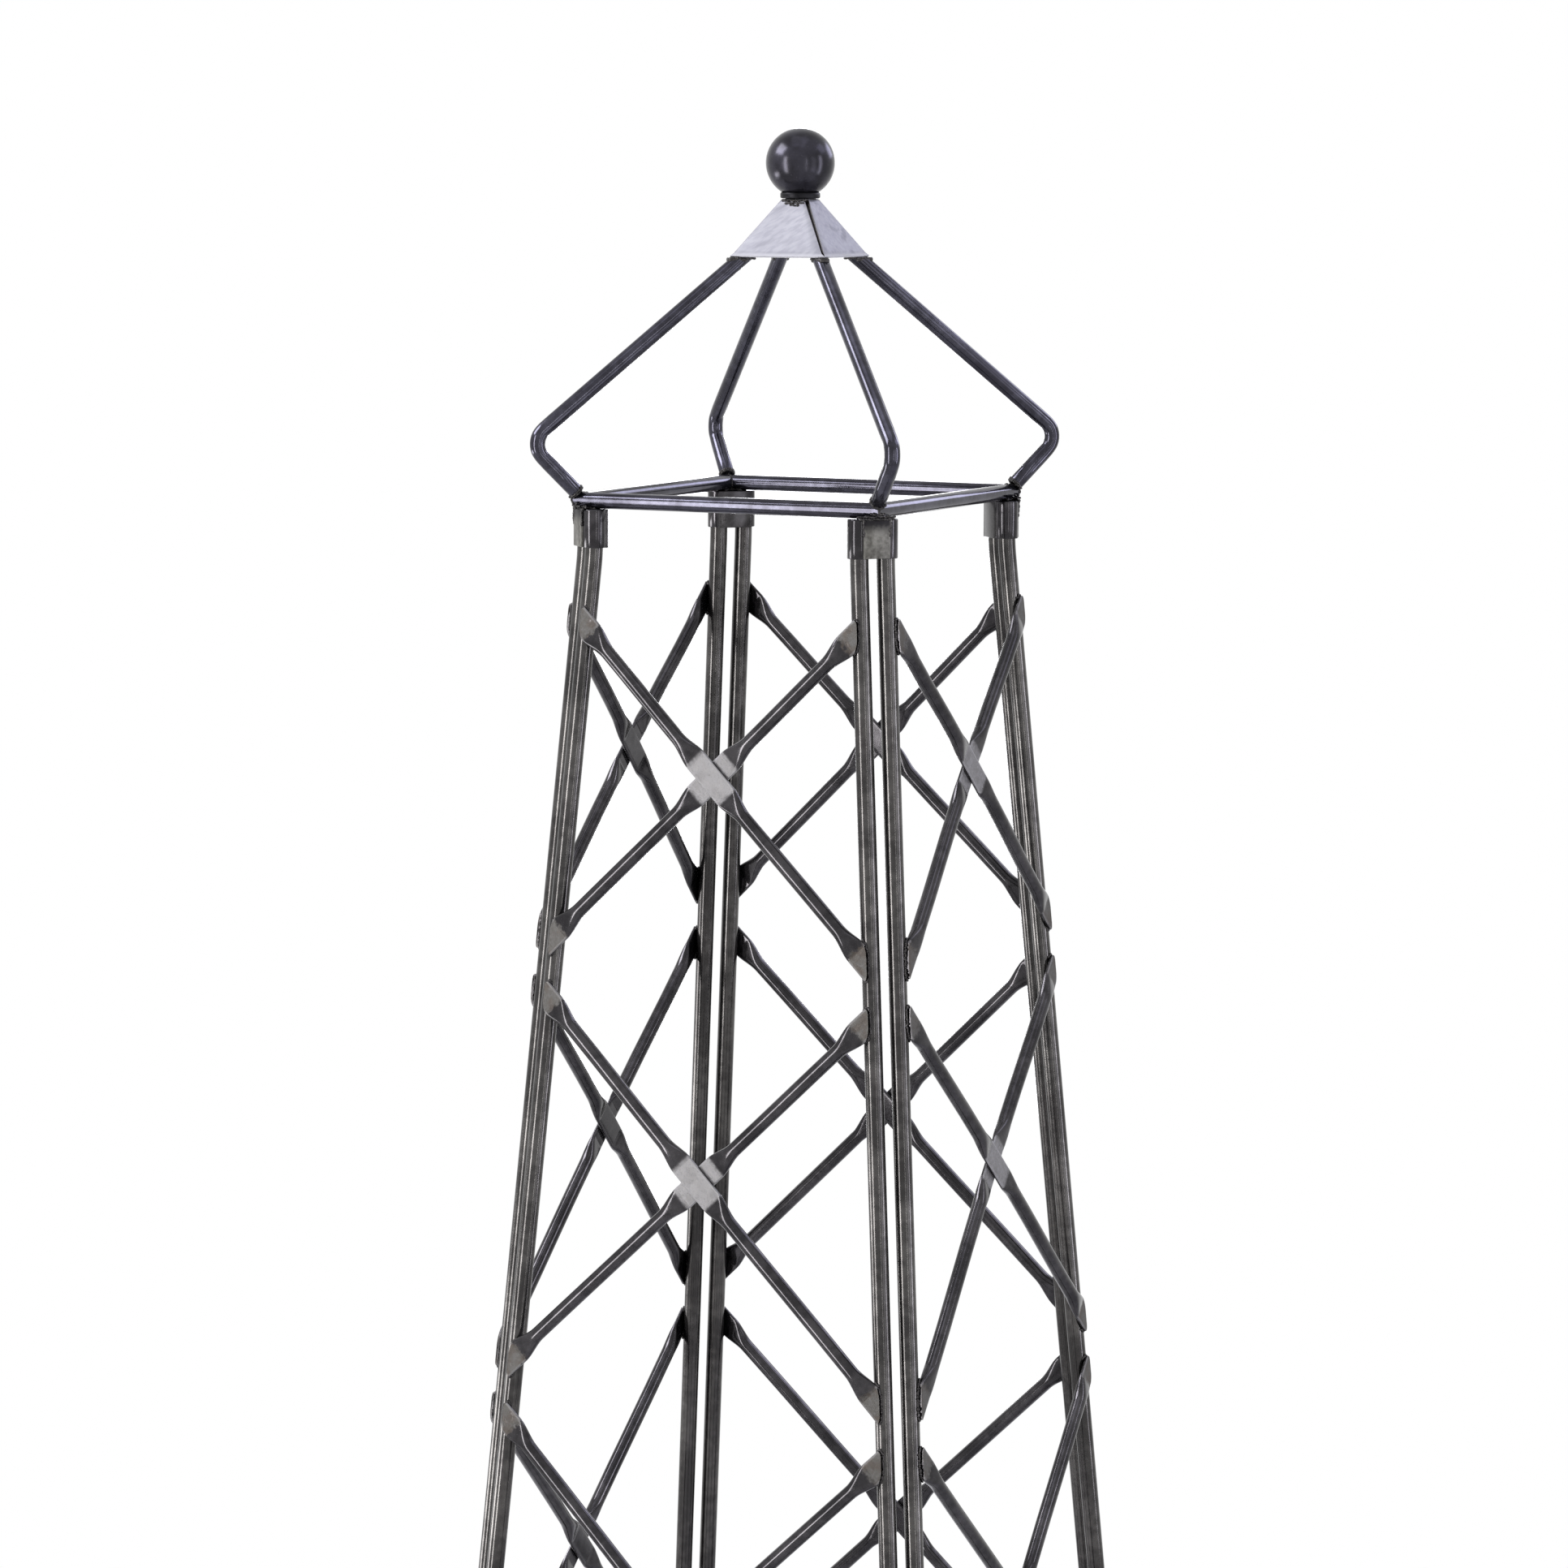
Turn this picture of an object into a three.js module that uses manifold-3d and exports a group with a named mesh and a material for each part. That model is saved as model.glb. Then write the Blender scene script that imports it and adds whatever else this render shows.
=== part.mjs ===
// Garden obelisk: four flat lattice panels that lean together, and a crown that plugs onto
// their eight leg tops. Each panel is two tube legs with crossed braces, pressed flat where
// they are welded and where they cross. The crown is a ring of four bars on double sockets,
// four bent legs, a folded cap and a ball finial.
// Millimetres, +Z up. The origin is on the ground at the middle of the base. The panels face
// -Y, +X, +Y and -X, and the corners lie on the diagonals.

import * as THREE from 'three';
import { mergeVertices } from 'three/addons/utils/BufferGeometryUtils.js';
import Module from 'manifold-3d';

const wasm = await Module();
wasm.setup();

// Overall
const ringHeight = 1480; // ground to the centre line of the ring
const topSide = 222.6; // between the corner lines of neighbouring panels, at the ring
const ringOverhang = 7; // from a panel's corner line out to the bar's centre line
const lean = 0.073; // how far each panel moves out for every millimetre down
const seatGap = 0.3; // between pieces that rest on or are welded to each other

// Legs
const legRadius = 6.6;
const legWall = 1.2;
const legPairSpacing = 20; // between the two legs that share a corner
const footPlug = 3; // closed end of a leg
const plumbDrop = 38; // below the ring: above this a leg stands plumb

// Braces
const tierCount = 4;
const firstTierDrop = 88; // ring to the highest brace ends
const lastTierHeight = 74.4; // ground to the lowest brace ends
const tierGap = 42; // between brace ends of neighbouring tiers, along the leg
const braceRadius = 5.25;
const flatWidth = 18; // where a brace is pressed flat
const flatThickness = 3;
const flatEdge = 0.4; // thickness of a flat's rounded edge, over its full thickness
const endLap = 1.2; // how far a flat reaches past the leg's axis
const endFlat = 10; // from the leg's axis to where the brace starts to round out
const crossFlat = 34; // pressed length at the crossing
const taperLength = 22; // from flat to round

// Tie bolts, one through each corner pair of legs
const tieTier = 3; // the bolt sits in the gap under this tier, counted from the top
const boltRadius = 2.4;
const boltHeadRadius = 5;
const boltHeadHeight = 3.2;
const boltNutRadius = 4.4;
const boltNutHeight = 5;
const spacerRadius = 4.5;
const boltClearance = 0.3;
const domeFlat = 0.6; // flat part of a bolt head's or cap nut's dome, over its radius

// Ring and sockets
const ringBarRadius = 5.8;
const socketHeight = 28;
const socketRoof = 2.5;
const sleeveWall = 1.7;
const sleeveClearance = 0.3; // between a leg top and its sleeve, so that the crown lifts off
const plateThickness = 2.5;
const outerPlateWidth = 20;
const innerPlateWidth = 26;

// Crown legs, each in the upright plane through its corner, heights above the ring
const crownLegRadius = 5.65;
const crownTopInset = 10.5; // from the cap's lower corner in to a leg's axis
const elbowOverhang = 40.7; // from the ring's corner out to where the leg's two runs meet
const elbowRise = 42.3;
const elbowRadius = 14;
const toeOverhang = -1.5; // from the ring's corner out to where the lower run is level with it

// Cap, a four-sided sheet frustum with a turned-in flange
const capRise = 176; // ring to the cap's lower edge
const capHeight = 42.5;
const capSide = 77.8;
const capTopSide = 21.2;
const capWall = 1.5;
const capFlange = 14;
const seamWidth = 1.8; // open fold line down the front corner of the cap

// Finial
const ballRadius = 25.4;
const washerRadius = 14.7;
const washerRim = 4.4; // height of the dished washer's rim
const studRadius = 3;
const studClearance = 0.3;
const studLength = 14; // below the ball
const nutRadius = 5.6; // to the corners
const nutHeight = 5;

// Facets
const rodSides = 12;
const legSides = 16;
const braceSides = 8;
const ballSides = 24;
const boltSides = 10;
const bendSteps = 5;
const dishSteps = 4;
const ballSteps = 11;
const halvings = 60; // when a value is found by halving

const quarterTurn = Math.PI / 2;
const diagonal = Math.SQRT1_2;
const tilt = Math.atan(lean);
const pairOffset = (legPairSpacing / 2) * diagonal;
const kinkHeight = ringHeight - plumbDrop;
const socketTop = ringHeight - ringBarRadius - seatGap;
const sleeveBore = legRadius + sleeveClearance;
const legTop = socketTop - socketRoof - seatGap;
const capBase = ringHeight + capRise;
const capTop = capBase + capHeight;
const washerBase = capTop + seatGap;
const ballCentre = washerBase + seatGap * 2 + ballRadius;
const ringSide = topSide + 2 * ringOverhang;
const ringCorner = ringSide / 2 / diagonal; // from the middle

const coat = { metalness: 0.6, roughness: 0.42 };
const graphite = new THREE.MeshStandardMaterial({ color: 0x37363c, ...coat });
const crownCoat = new THREE.MeshStandardMaterial({ color: 0x3a3940, ...coat });
const capCoat = new THREE.MeshStandardMaterial({ color: 0x84838a, metalness: 0.6, roughness: 0.5 });
const ballCoat = new THREE.MeshStandardMaterial({ color: 0x2b2a30, metalness: 0.6, roughness: 0.35 });
const zinc = new THREE.MeshStandardMaterial({ color: 0x8e9094, metalness: 0.8, roughness: 0.4 });

const vec = (x, y, z) => new THREE.Vector3(x, y, z);
const mix = (a, b, t) => a + (b - a) * t;

// Distance from the object's middle to a panel's corner line, at a height.
const halfSide = (z) => topSide / 2 + lean * (ringHeight - Math.min(z, kinkHeight));

// A closed surface over rings that all have as many points, with both ends capped.
function loft(rings) {
  const count = rings[0].length;
  const corners = rings.flat().flatMap((p) => [p.x, p.y, p.z]);
  const faces = [];
  for (let r = 0; r + 1 < rings.length; r++) {
    for (let i = 0; i < count; i++) {
      const a = r * count + i;
      const b = r * count + ((i + 1) % count);
      faces.push(a, b, b + count, a, b + count, a + count);
    }
  }
  const last = (rings.length - 1) * count;
  for (let i = 1; i + 1 < count; i++) faces.push(0, i + 1, i, last, last + i, last + i + 1);
  const geometry = new THREE.BufferGeometry();
  geometry.setAttribute('position', new THREE.Float32BufferAttribute(corners, 3));
  geometry.setIndex(faces);
  return geometry;
}

// Rings round a rod that follows straight runs between points, each ring on its own cut plane:
// the mitre at a bend and the given plane at an end. The flats lie at the stated radius.
function rodRings(points, radius, sides, side, firstCut, lastCut) {
  const last = points.length - 1;
  const run = (i) => points[i + 1].clone().sub(points[i]).normalize();
  return points.map((point, i) => {
    const along = run(Math.max(i - 1, 0));
    const mitre = along.clone().add(run(Math.min(i, last - 1)));
    const cut = (i === 0 && firstCut) || (i === last && lastCut) || mitre;
    const across = along.clone().cross(side).normalize();
    return Array.from({ length: sides }, (_, k) => {
      const angle = ((k + 0.5) * 2 * Math.PI) / sides;
      const reach = radius / Math.cos(Math.PI / sides);
      const spoke = across.clone().multiplyScalar(Math.cos(angle) * reach);
      spoke.addScaledVector(side, Math.sin(angle) * reach);
      spoke.addScaledVector(along, -spoke.dot(cut) / along.dot(cut));
      return spoke.add(point);
    });
  });
}

function toSolid(geometry) {
  const bare = geometry.clone();
  bare.deleteAttribute('normal');
  bare.deleteAttribute('uv');
  const merged = mergeVertices(bare, 1e-4);
  return new wasm.Manifold(new wasm.Mesh({
    numProp: 3,
    vertProperties: new Float32Array(merged.attributes.position.array),
    triVerts: new Uint32Array(merged.index.array),
  }));
}

function toGeometry(solid) {
  const mesh = solid.getMesh();
  const geometry = new THREE.BufferGeometry();
  geometry.setAttribute('position', new THREE.Float32BufferAttribute(mesh.vertProperties, 3));
  geometry.setIndex([...mesh.triVerts]);
  return geometry;
}

// An upright cylinder between two heights, its flats at the stated radius.
function upright(radius, low, high, sides = rodSides) {
  const reach = radius / Math.cos(Math.PI / sides);
  const cylinder = new THREE.CylinderGeometry(reach, reach, high - low, sides);
  cylinder.rotateX(quarterTurn).rotateZ(Math.PI / sides);
  return cylinder.translate(0, 0, (low + high) / 2);
}

// A turned piece about +Z, from a profile of [radius, height] that runs up from the axis.
function turned(profile, sides) {
  const points = profile.map(([radius, height]) => new THREE.Vector2(radius, height));
  return new THREE.LatheGeometry(points, sides).rotateX(quarterTurn);
}

// Panels

// Tops and bottoms of the tiers, as heights above the ground. Each tier has the same shape,
// its height over the width at its middle, so they grow taller as the panel widens.
function tiersOfShape(shape) {
  const stack = [];
  let top = ringHeight - firstTierDrop;
  for (let i = 0; i < tierCount; i++) {
    const height = (shape * 2 * halfSide(top)) / (1 - shape * lean);
    stack.push({ top, bottom: top - height });
    top -= height + tierGap;
  }
  return stack;
}

// The tiers whose shape brings the last one down to its stated height, found by halving.
function fittedTiers() {
  let [low, high] = [0, 1 / lean];
  for (let i = 0; i < halvings; i++) {
    const shape = (low + high) / 2;
    if (tiersOfShape(shape)[tierCount - 1].bottom > lastTierHeight) low = shape;
    else high = shape;
  }
  return tiersOfShape(low);
}

const tiers = fittedTiers();
const tieHeight = tiers[tieTier - 1].bottom - tierGap / 2;

// Panel axes: x to the right as seen from outside, y up the panel, z out of it.
const upPanel = (z) => z / Math.cos(tilt);
const legLean = lean * Math.cos(tilt);
const legLine = (y) => halfSide(0) - pairOffset - legLean * y;
const braceLift = legRadius + seatGap + flatThickness / 2;
const crossLift = (flatThickness + seatGap) / 2;

// Outline across a brace, from round at 0 to pressed flat at 1.
function braceSection(pressed) {
  return Array.from({ length: braceSides }, (_, k) => {
    const angle = ((k + 0.5) * 2 * Math.PI) / braceSides;
    const reach = braceRadius / Math.cos(Math.PI / braceSides);
    const [c, s] = [Math.cos(angle), Math.sin(angle)];
    const edge = Math.abs(c) > Math.abs(s);
    const wide = flatWidth / 2 - (edge ? 0 : flatThickness / 2);
    const thick = (flatThickness / 2) * (edge ? flatEdge : 1);
    return [mix(c * reach, Math.sign(c) * wide, pressed), mix(s * reach, Math.sign(s) * thick, pressed)];
  });
}

// A brace that climbs towards +x (rise 1) or -x (rise -1). Its ends are cut along the legs,
// just past their axes, and crossOffset moves its crossing out of the panel.
function braceGeometry({ top, bottom }, rise, crossOffset) {
  const low = vec(-rise * legLine(upPanel(bottom)), upPanel(bottom), 0);
  const high = vec(rise * legLine(upPanel(top)), upPanel(top), 0);
  const along = high.clone().sub(low).normalize();
  const across = vec(-along.y, along.x, 0);
  const crossing = low.clone().addScaledVector(along, -low.x / along.x);
  const lowEnd = -crossing.distanceTo(low);
  const highEnd = crossing.distanceTo(high);
  // Where the line at offset q from the brace's axis ends over the leg on one side.
  const cutAt = (q, sign) => {
    const start = crossing.clone().addScaledVector(across, q);
    const edge = legLine(0) + endLap;
    return (edge - sign * start.x - legLean * start.y) / (sign * along.x + legLean * along.y);
  };
  const half = crossFlat / 2;
  const stations = [
    { at: (q) => cutAt(q, -rise), pressed: 1, lift: 0 },
    { at: () => lowEnd + endFlat, pressed: 1, lift: 0 },
    { at: () => lowEnd + endFlat + taperLength, pressed: 0, lift: 0 },
    { at: () => -half - taperLength, pressed: 0, lift: crossOffset },
    { at: () => -half, pressed: 1, lift: crossOffset },
    { at: () => half, pressed: 1, lift: crossOffset },
    { at: () => half + taperLength, pressed: 0, lift: crossOffset },
    { at: () => highEnd - endFlat - taperLength, pressed: 0, lift: 0 },
    { at: () => highEnd - endFlat, pressed: 1, lift: 0 },
    { at: (q) => cutAt(q, rise), pressed: 1, lift: 0 },
  ];
  const rings = stations.map(({ at, pressed, lift }) => braceSection(pressed).map(([q, h]) => {
    const point = crossing.clone().addScaledVector(across, q).addScaledVector(along, at(q));
    return point.setZ(braceLift + lift + h);
  }));
  return loft(rings);
}

// A leg of the -Y panel, on its +x side (hand 1) or -x side (hand -1), with its bolt hole.
function legGeometry(hand) {
  const axis = (z) => vec(hand * (halfSide(z) - pairOffset), -halfSide(z) - pairOffset, z);
  const side = vec(hand * diagonal, diagonal, 0);
  const level = vec(0, 0, 1);
  const heights = [0, kinkHeight, legTop];
  const outside = rodRings(heights.map(axis), legRadius, legSides, side, level, level);
  const bore = [footPlug, ...heights.slice(1)];
  const inside = rodRings(bore.map(axis), legRadius - legWall, legSides, side, level, level);
  const tube = toSolid(orient(loft([...outside, ...inside.reverse()])));
  const hole = upright(boltRadius + boltClearance, -legPairSpacing, legPairSpacing, braceSides);
  hole.applyQuaternion(new THREE.Quaternion().setFromUnitVectors(level, side));
  hole.translate(...axis(tieHeight).toArray());
  return toGeometry(tube.subtract(toSolid(hole)));
}

// Turns a closed geometry's faces outwards.
function orient(geometry) {
  const p = geometry.attributes.position;
  const [a, b, c] = [vec(0, 0, 0), vec(0, 0, 0), vec(0, 0, 0)];
  const index = geometry.index.array;
  let volume = 0;
  for (let i = 0; i < index.length; i += 3) {
    a.fromBufferAttribute(p, index[i]);
    b.fromBufferAttribute(p, index[i + 1]);
    c.fromBufferAttribute(p, index[i + 2]);
    volume += a.dot(b.cross(c));
  }
  if (volume < 0) {
    for (let i = 0; i < index.length; i += 3) {
      [index[i], index[i + 1]] = [index[i + 1], index[i]];
    }
  }
  return geometry;
}

// A bolt through a corner pair, along +Z about its middle: head, shank, spacer and cap nut.
function boltGeometry() {
  const spacer = legPairSpacing / 2 - legRadius - seatGap;
  const seat = legPairSpacing / 2 + legRadius + seatGap;
  return turned([
    [0, -seat - boltHeadHeight],
    [boltHeadRadius * domeFlat, -seat - boltHeadHeight],
    [boltHeadRadius, -seat - boltHeadHeight / 2],
    [boltHeadRadius, -seat],
    [boltRadius, -seat],
    [boltRadius, -spacer],
    [spacerRadius, -spacer],
    [spacerRadius, spacer],
    [boltRadius, spacer],
    [boltRadius, seat],
    [boltNutRadius, seat],
    [boltNutRadius, seat + boltNutHeight / 2],
    [boltNutRadius * domeFlat, seat + boltNutHeight],
    [0, seat + boltNutHeight],
  ], boltSides);
}

// Crown

// The bar along the -Y side of the ring, mitred at both corners.
function ringBarGeometry() {
  const half = ringSide / 2;
  const gap = seatGap / 2 / diagonal;
  const points = [vec(-half + gap, -half, ringHeight), vec(half - gap, -half, ringHeight)];
  const cuts = [vec(1, -1, 0), vec(1, 1, 0)];
  return loft(rodRings(points, ringBarRadius, rodSides, vec(0, 0, 1), ...cuts));
}

// The double socket of the corner on +X -Y: two sleeves with closed tops between two plates.
function socketGeometry() {
  const floor = socketTop - socketHeight;
  const plate = (width, out, low) => {
    const box = new THREE.BoxGeometry(plateThickness, width, socketTop - low);
    return toSolid(box.translate(out, 0, (low + socketTop) / 2));
  };
  const sleeve = (y, radius, low, high) => {
    return toSolid(upright(radius, low, high, legSides).translate(0, y, 0));
  };
  const outerRadius = sleeveBore + sleeveWall;
  const spots = [-legPairSpacing / 2, legPairSpacing / 2];
  let body = plate(outerPlateWidth, outerRadius, floor + seatGap);
  body = body.add(plate(innerPlateWidth, -outerRadius, floor - seatGap));
  for (const y of spots) body = body.add(sleeve(y, outerRadius, floor, socketTop));
  for (const y of spots) {
    body = body.subtract(sleeve(y, sleeveBore, floor - plateThickness, socketTop - socketRoof));
  }
  const geometry = toGeometry(body).rotateZ(-quarterTurn / 2);
  return geometry.translate(halfSide(ringHeight), -halfSide(ringHeight), 0);
}

// The crown leg of the corner on +X -Y, from the ring up round its elbow to the cap.
function crownLegGeometry() {
  const spot = (reach, rise) => vec(reach * diagonal, -reach * diagonal, ringHeight + rise);
  const elbow = new THREE.Vector2(ringCorner + elbowOverhang, elbowRise);
  const toe = new THREE.Vector2(ringCorner + toeOverhang, 0);
  const top = new THREE.Vector2(capSide * diagonal - crownTopInset, capRise - seatGap);
  const down = toe.clone().sub(elbow).normalize();
  const up = top.clone().sub(elbow).normalize();
  // The lower end is square to the leg and just clears the ring's mitred corner.
  const clear = Math.hypot((ringBarRadius / diagonal) * down.x, ringBarRadius * down.y);
  const end = toe.clone().addScaledVector(down, -(clear + seatGap + toeOverhang * down.x));
  // The bend is an arc that the two straight runs touch.
  const half = Math.acos(down.dot(up)) / 2;
  const setback = elbowRadius / Math.tan(half);
  const inward = down.clone().add(up).normalize();
  const centre = elbow.clone().addScaledVector(inward, elbowRadius / Math.sin(half));
  const first = elbow.clone().addScaledVector(down, setback).sub(centre).angle();
  const sweep = Math.PI - 2 * half;
  const bend = Array.from({ length: bendSteps + 1 }, (_, i) => {
    const angle = first + (sweep * i) / bendSteps;
    const arm = new THREE.Vector2(Math.cos(angle), Math.sin(angle));
    return centre.clone().addScaledVector(arm, elbowRadius);
  });
  const path = [end, ...bend, top].map((p) => spot(p.x, p.y));
  const side = vec(diagonal, diagonal, 0);
  return loft(rodRings(path, crownLegRadius, rodSides, side, null, vec(0, 0, 1)));
}

// A four-sided frustum with its sides square to X and Y.
function frustum(lowSide, highSide, low, high) {
  const shape = new THREE.CylinderGeometry(highSide * diagonal, lowSide * diagonal, high - low, 4);
  shape.rotateX(quarterTurn).rotateZ(quarterTurn / 2);
  return toSolid(shape.translate(0, 0, (low + high) / 2));
}

function capGeometry() {
  const slope = (capSide - capTopSide) / capHeight;
  const sheet = (capWall * 2) / Math.cos(Math.atan(slope / 2));
  const roomTop = capTop - capWall;
  const roomLow = capBase + capWall;
  const side = (z) => capSide - slope * (z - capBase) - sheet;
  const mouth = capSide - 2 * capFlange;
  let body = frustum(capSide, capTopSide, capBase, capTop);
  body = body.subtract(frustum(side(roomLow), side(roomTop), roomLow, roomTop));
  body = body.subtract(frustum(mouth, mouth, capBase - capWall, roomLow + capWall));
  body = body.subtract(toSolid(upright(studRadius + studClearance, roomTop - 1, capTop + 1)));
  // The open fold runs down the corner on +X -Y and stops at the flange.
  const seamReach = capSide * diagonal;
  const seamTop = capTop - capWall - seatGap;
  const seam = new THREE.BoxGeometry(seamReach, seamWidth, seamTop - roomLow);
  seam.translate(capTopSide * diagonal - capWall + seamReach / 2, 0, (roomLow + seamTop) / 2);
  return toGeometry(body.subtract(toSolid(seam.rotateZ(-quarterTurn / 2))));
}

// The dished washer that the ball sits in.
function washerGeometry() {
  const hole = studRadius + studClearance;
  const seat = ballRadius + seatGap;
  const rim = washerBase + washerRim;
  const dish = (radius) => ballCentre - Math.sqrt(seat ** 2 - radius ** 2);
  const lip = Math.sqrt(seat ** 2 - (ballCentre - rim) ** 2);
  const profile = [[hole, washerBase], [washerRadius, washerBase], [washerRadius, rim], [lip, rim]];
  for (let i = 1; i <= dishSteps; i++) {
    const radius = mix(lip, hole, i / dishSteps);
    profile.push([radius, dish(radius)]);
  }
  profile.push(profile[0]);
  return turned(profile, ballSides);
}

function ballGeometry() {
  const start = Math.asin(studRadius / ballRadius);
  const tip = ballCentre - ballRadius - studLength;
  const profile = [[0, tip], [studRadius, tip]];
  for (let i = 0; i < ballSteps; i++) {
    const angle = mix(start, Math.PI, i / ballSteps);
    profile.push([Math.sin(angle) * ballRadius, ballCentre - Math.cos(angle) * ballRadius]);
  }
  profile.push([0, ballCentre + ballRadius]);
  return turned(profile, ballSides);
}

function nutGeometry() {
  const high = capTop - capWall - seatGap;
  const hex = upright(nutRadius * Math.cos(Math.PI / 6), high - nutHeight, high, 6);
  const hole = upright(studRadius + studClearance, high - nutHeight - 1, high + 1);
  return toGeometry(toSolid(hex).subtract(toSolid(hole)));
}

// Assembly

function piece(name, geometry, material) {
  const mesh = new THREE.Mesh(orient(geometry.index ? geometry : mergeVertices(geometry)), material);
  mesh.name = name;
  return mesh;
}

const obelisk = new THREE.Group();

['front', 'right', 'back', 'left'].forEach((face, i) => {
  const panel = new THREE.Group();
  panel.rotation.z = i * quarterTurn;
  panel.add(piece(`${face}_leg_left`, legGeometry(-1), graphite));
  panel.add(piece(`${face}_leg_right`, legGeometry(1), graphite));
  const lattice = new THREE.Group();
  lattice.rotation.x = quarterTurn - tilt;
  lattice.position.y = -halfSide(0) - pairOffset;
  tiers.forEach((tier, t) => {
    const outer = braceGeometry(tier, -1, crossLift);
    const inner = braceGeometry(tier, 1, -crossLift);
    lattice.add(piece(`${face}_brace_${t + 1}_outer`, outer, graphite));
    lattice.add(piece(`${face}_brace_${t + 1}_inner`, inner, graphite));
  });
  panel.add(lattice);
  obelisk.add(panel);
});

for (let i = 0; i < 4; i++) {
  const corner = new THREE.Group();
  corner.rotation.z = i * quarterTurn;
  const bolt = piece(`tie_bolt_${i + 1}`, boltGeometry(), zinc);
  bolt.quaternion.setFromUnitVectors(vec(0, 0, 1), vec(diagonal, diagonal, 0));
  bolt.position.set(halfSide(tieHeight), -halfSide(tieHeight), tieHeight);
  corner.add(bolt);
  corner.add(piece(`ring_bar_${i + 1}`, ringBarGeometry(), crownCoat));
  corner.add(piece(`leg_socket_${i + 1}`, socketGeometry(), crownCoat));
  corner.add(piece(`crown_leg_${i + 1}`, crownLegGeometry(), crownCoat));
  obelisk.add(corner);
}

obelisk.add(piece('cap', capGeometry(), capCoat));
obelisk.add(piece('finial_washer', washerGeometry(), ballCoat));
obelisk.add(piece('finial_ball', ballGeometry(), ballCoat));
obelisk.add(piece('finial_nut', nutGeometry(), zinc));

export default obelisk;
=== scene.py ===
# Garden obelisk: four leaning lattice panels and the crown that plugs onto their leg tops.
import bpy, bmesh, math
from mathutils import Matrix, Vector


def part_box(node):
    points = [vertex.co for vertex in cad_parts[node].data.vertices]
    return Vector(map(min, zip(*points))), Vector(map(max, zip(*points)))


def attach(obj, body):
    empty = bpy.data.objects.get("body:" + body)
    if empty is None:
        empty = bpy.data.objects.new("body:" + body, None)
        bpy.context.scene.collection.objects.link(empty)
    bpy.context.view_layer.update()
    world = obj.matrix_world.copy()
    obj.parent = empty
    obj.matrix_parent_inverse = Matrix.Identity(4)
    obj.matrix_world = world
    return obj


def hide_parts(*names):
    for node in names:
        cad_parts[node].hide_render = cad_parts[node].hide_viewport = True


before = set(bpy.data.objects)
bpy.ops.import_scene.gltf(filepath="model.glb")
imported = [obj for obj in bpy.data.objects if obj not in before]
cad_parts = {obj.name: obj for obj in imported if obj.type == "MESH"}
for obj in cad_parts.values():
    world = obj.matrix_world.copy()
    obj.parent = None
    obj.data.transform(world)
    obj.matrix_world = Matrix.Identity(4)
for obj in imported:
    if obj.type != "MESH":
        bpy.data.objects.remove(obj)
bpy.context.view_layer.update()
print("frame loaded,", len(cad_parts), "nodes")

# sizes that every piece shares, in metres
form = {
    "ringHeight": 1.480,  # ground to the ring's centre line
    "topSide": 0.2226,  # between the panels' corner lines at the ring
    "ringOverhang": 0.007,  # from there out to a bar's centre line
    "lean": 0.073,  # outwards for every metre down
    "plumbDrop": 0.038,  # above this a leg stands plumb
    "pairSpacing": 0.020,  # between the two legs of a corner
    "seatGap": 0.0003,  # between pieces that rest on or are welded to each other
    "barRadius": 0.0058,  # the ring's bars
}
faceNames = ("front", "right", "back", "left")
diagonal = math.sqrt(0.5)
tilt = math.atan(form["lean"])
pairOffset = form["pairSpacing"] / 2 * diagonal
kinkHeight = form["ringHeight"] - form["plumbDrop"]
ringHalf = form["topSide"] / 2 + form["ringOverhang"]


def halfSide(z):
    return form["topSide"] / 2 + form["lean"] * (form["ringHeight"] - min(z, kinkHeight))


def mix(a, b, t):
    return a + (b - a) * t


def smooth(t):
    t = min(max(t, 0.0), 1.0)
    return t * t * (3 - 2 * t)


def turned(point, quarter):
    return Matrix.Rotation(quarter * math.pi / 2, 3, "Z") @ Vector(point)


def roundOnce(count):  # (cosine, sine) at even steps round a circle
    return [(math.cos(2 * math.pi * k / count), math.sin(2 * math.pi * k / count))
            for k in range(count)]


def cornerSpot(out, along, z):  # at the +X -Y corner: out from the middle, along towards +X +Y
    return Vector(((out + along) * diagonal, (along - out) * diagonal, z))


class Wire:  # a node's output that can stand in a sum
    def __init__(self, graph, socket):
        self.graph = graph
        self.socket = socket

    def other(self, name):
        return Wire(self.graph, self.socket.node.outputs[name])

    def __add__(self, right):
        return self.graph.sum("ADD", self, right)

    def __radd__(self, left):
        return self.graph.sum("ADD", left, self)

    def __sub__(self, right):
        return self.graph.sum("SUBTRACT", self, right)

    def __rsub__(self, left):
        return self.graph.sum("SUBTRACT", left, self)

    def __mul__(self, right):
        return self.graph.sum("MULTIPLY", self, right)

    def __rmul__(self, left):
        return self.graph.sum("MULTIPLY", left, self)

    def __truediv__(self, right):
        return self.graph.sum("DIVIDE", self, right)

    def __rtruediv__(self, left):
        return self.graph.sum("DIVIDE", left, self)


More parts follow.
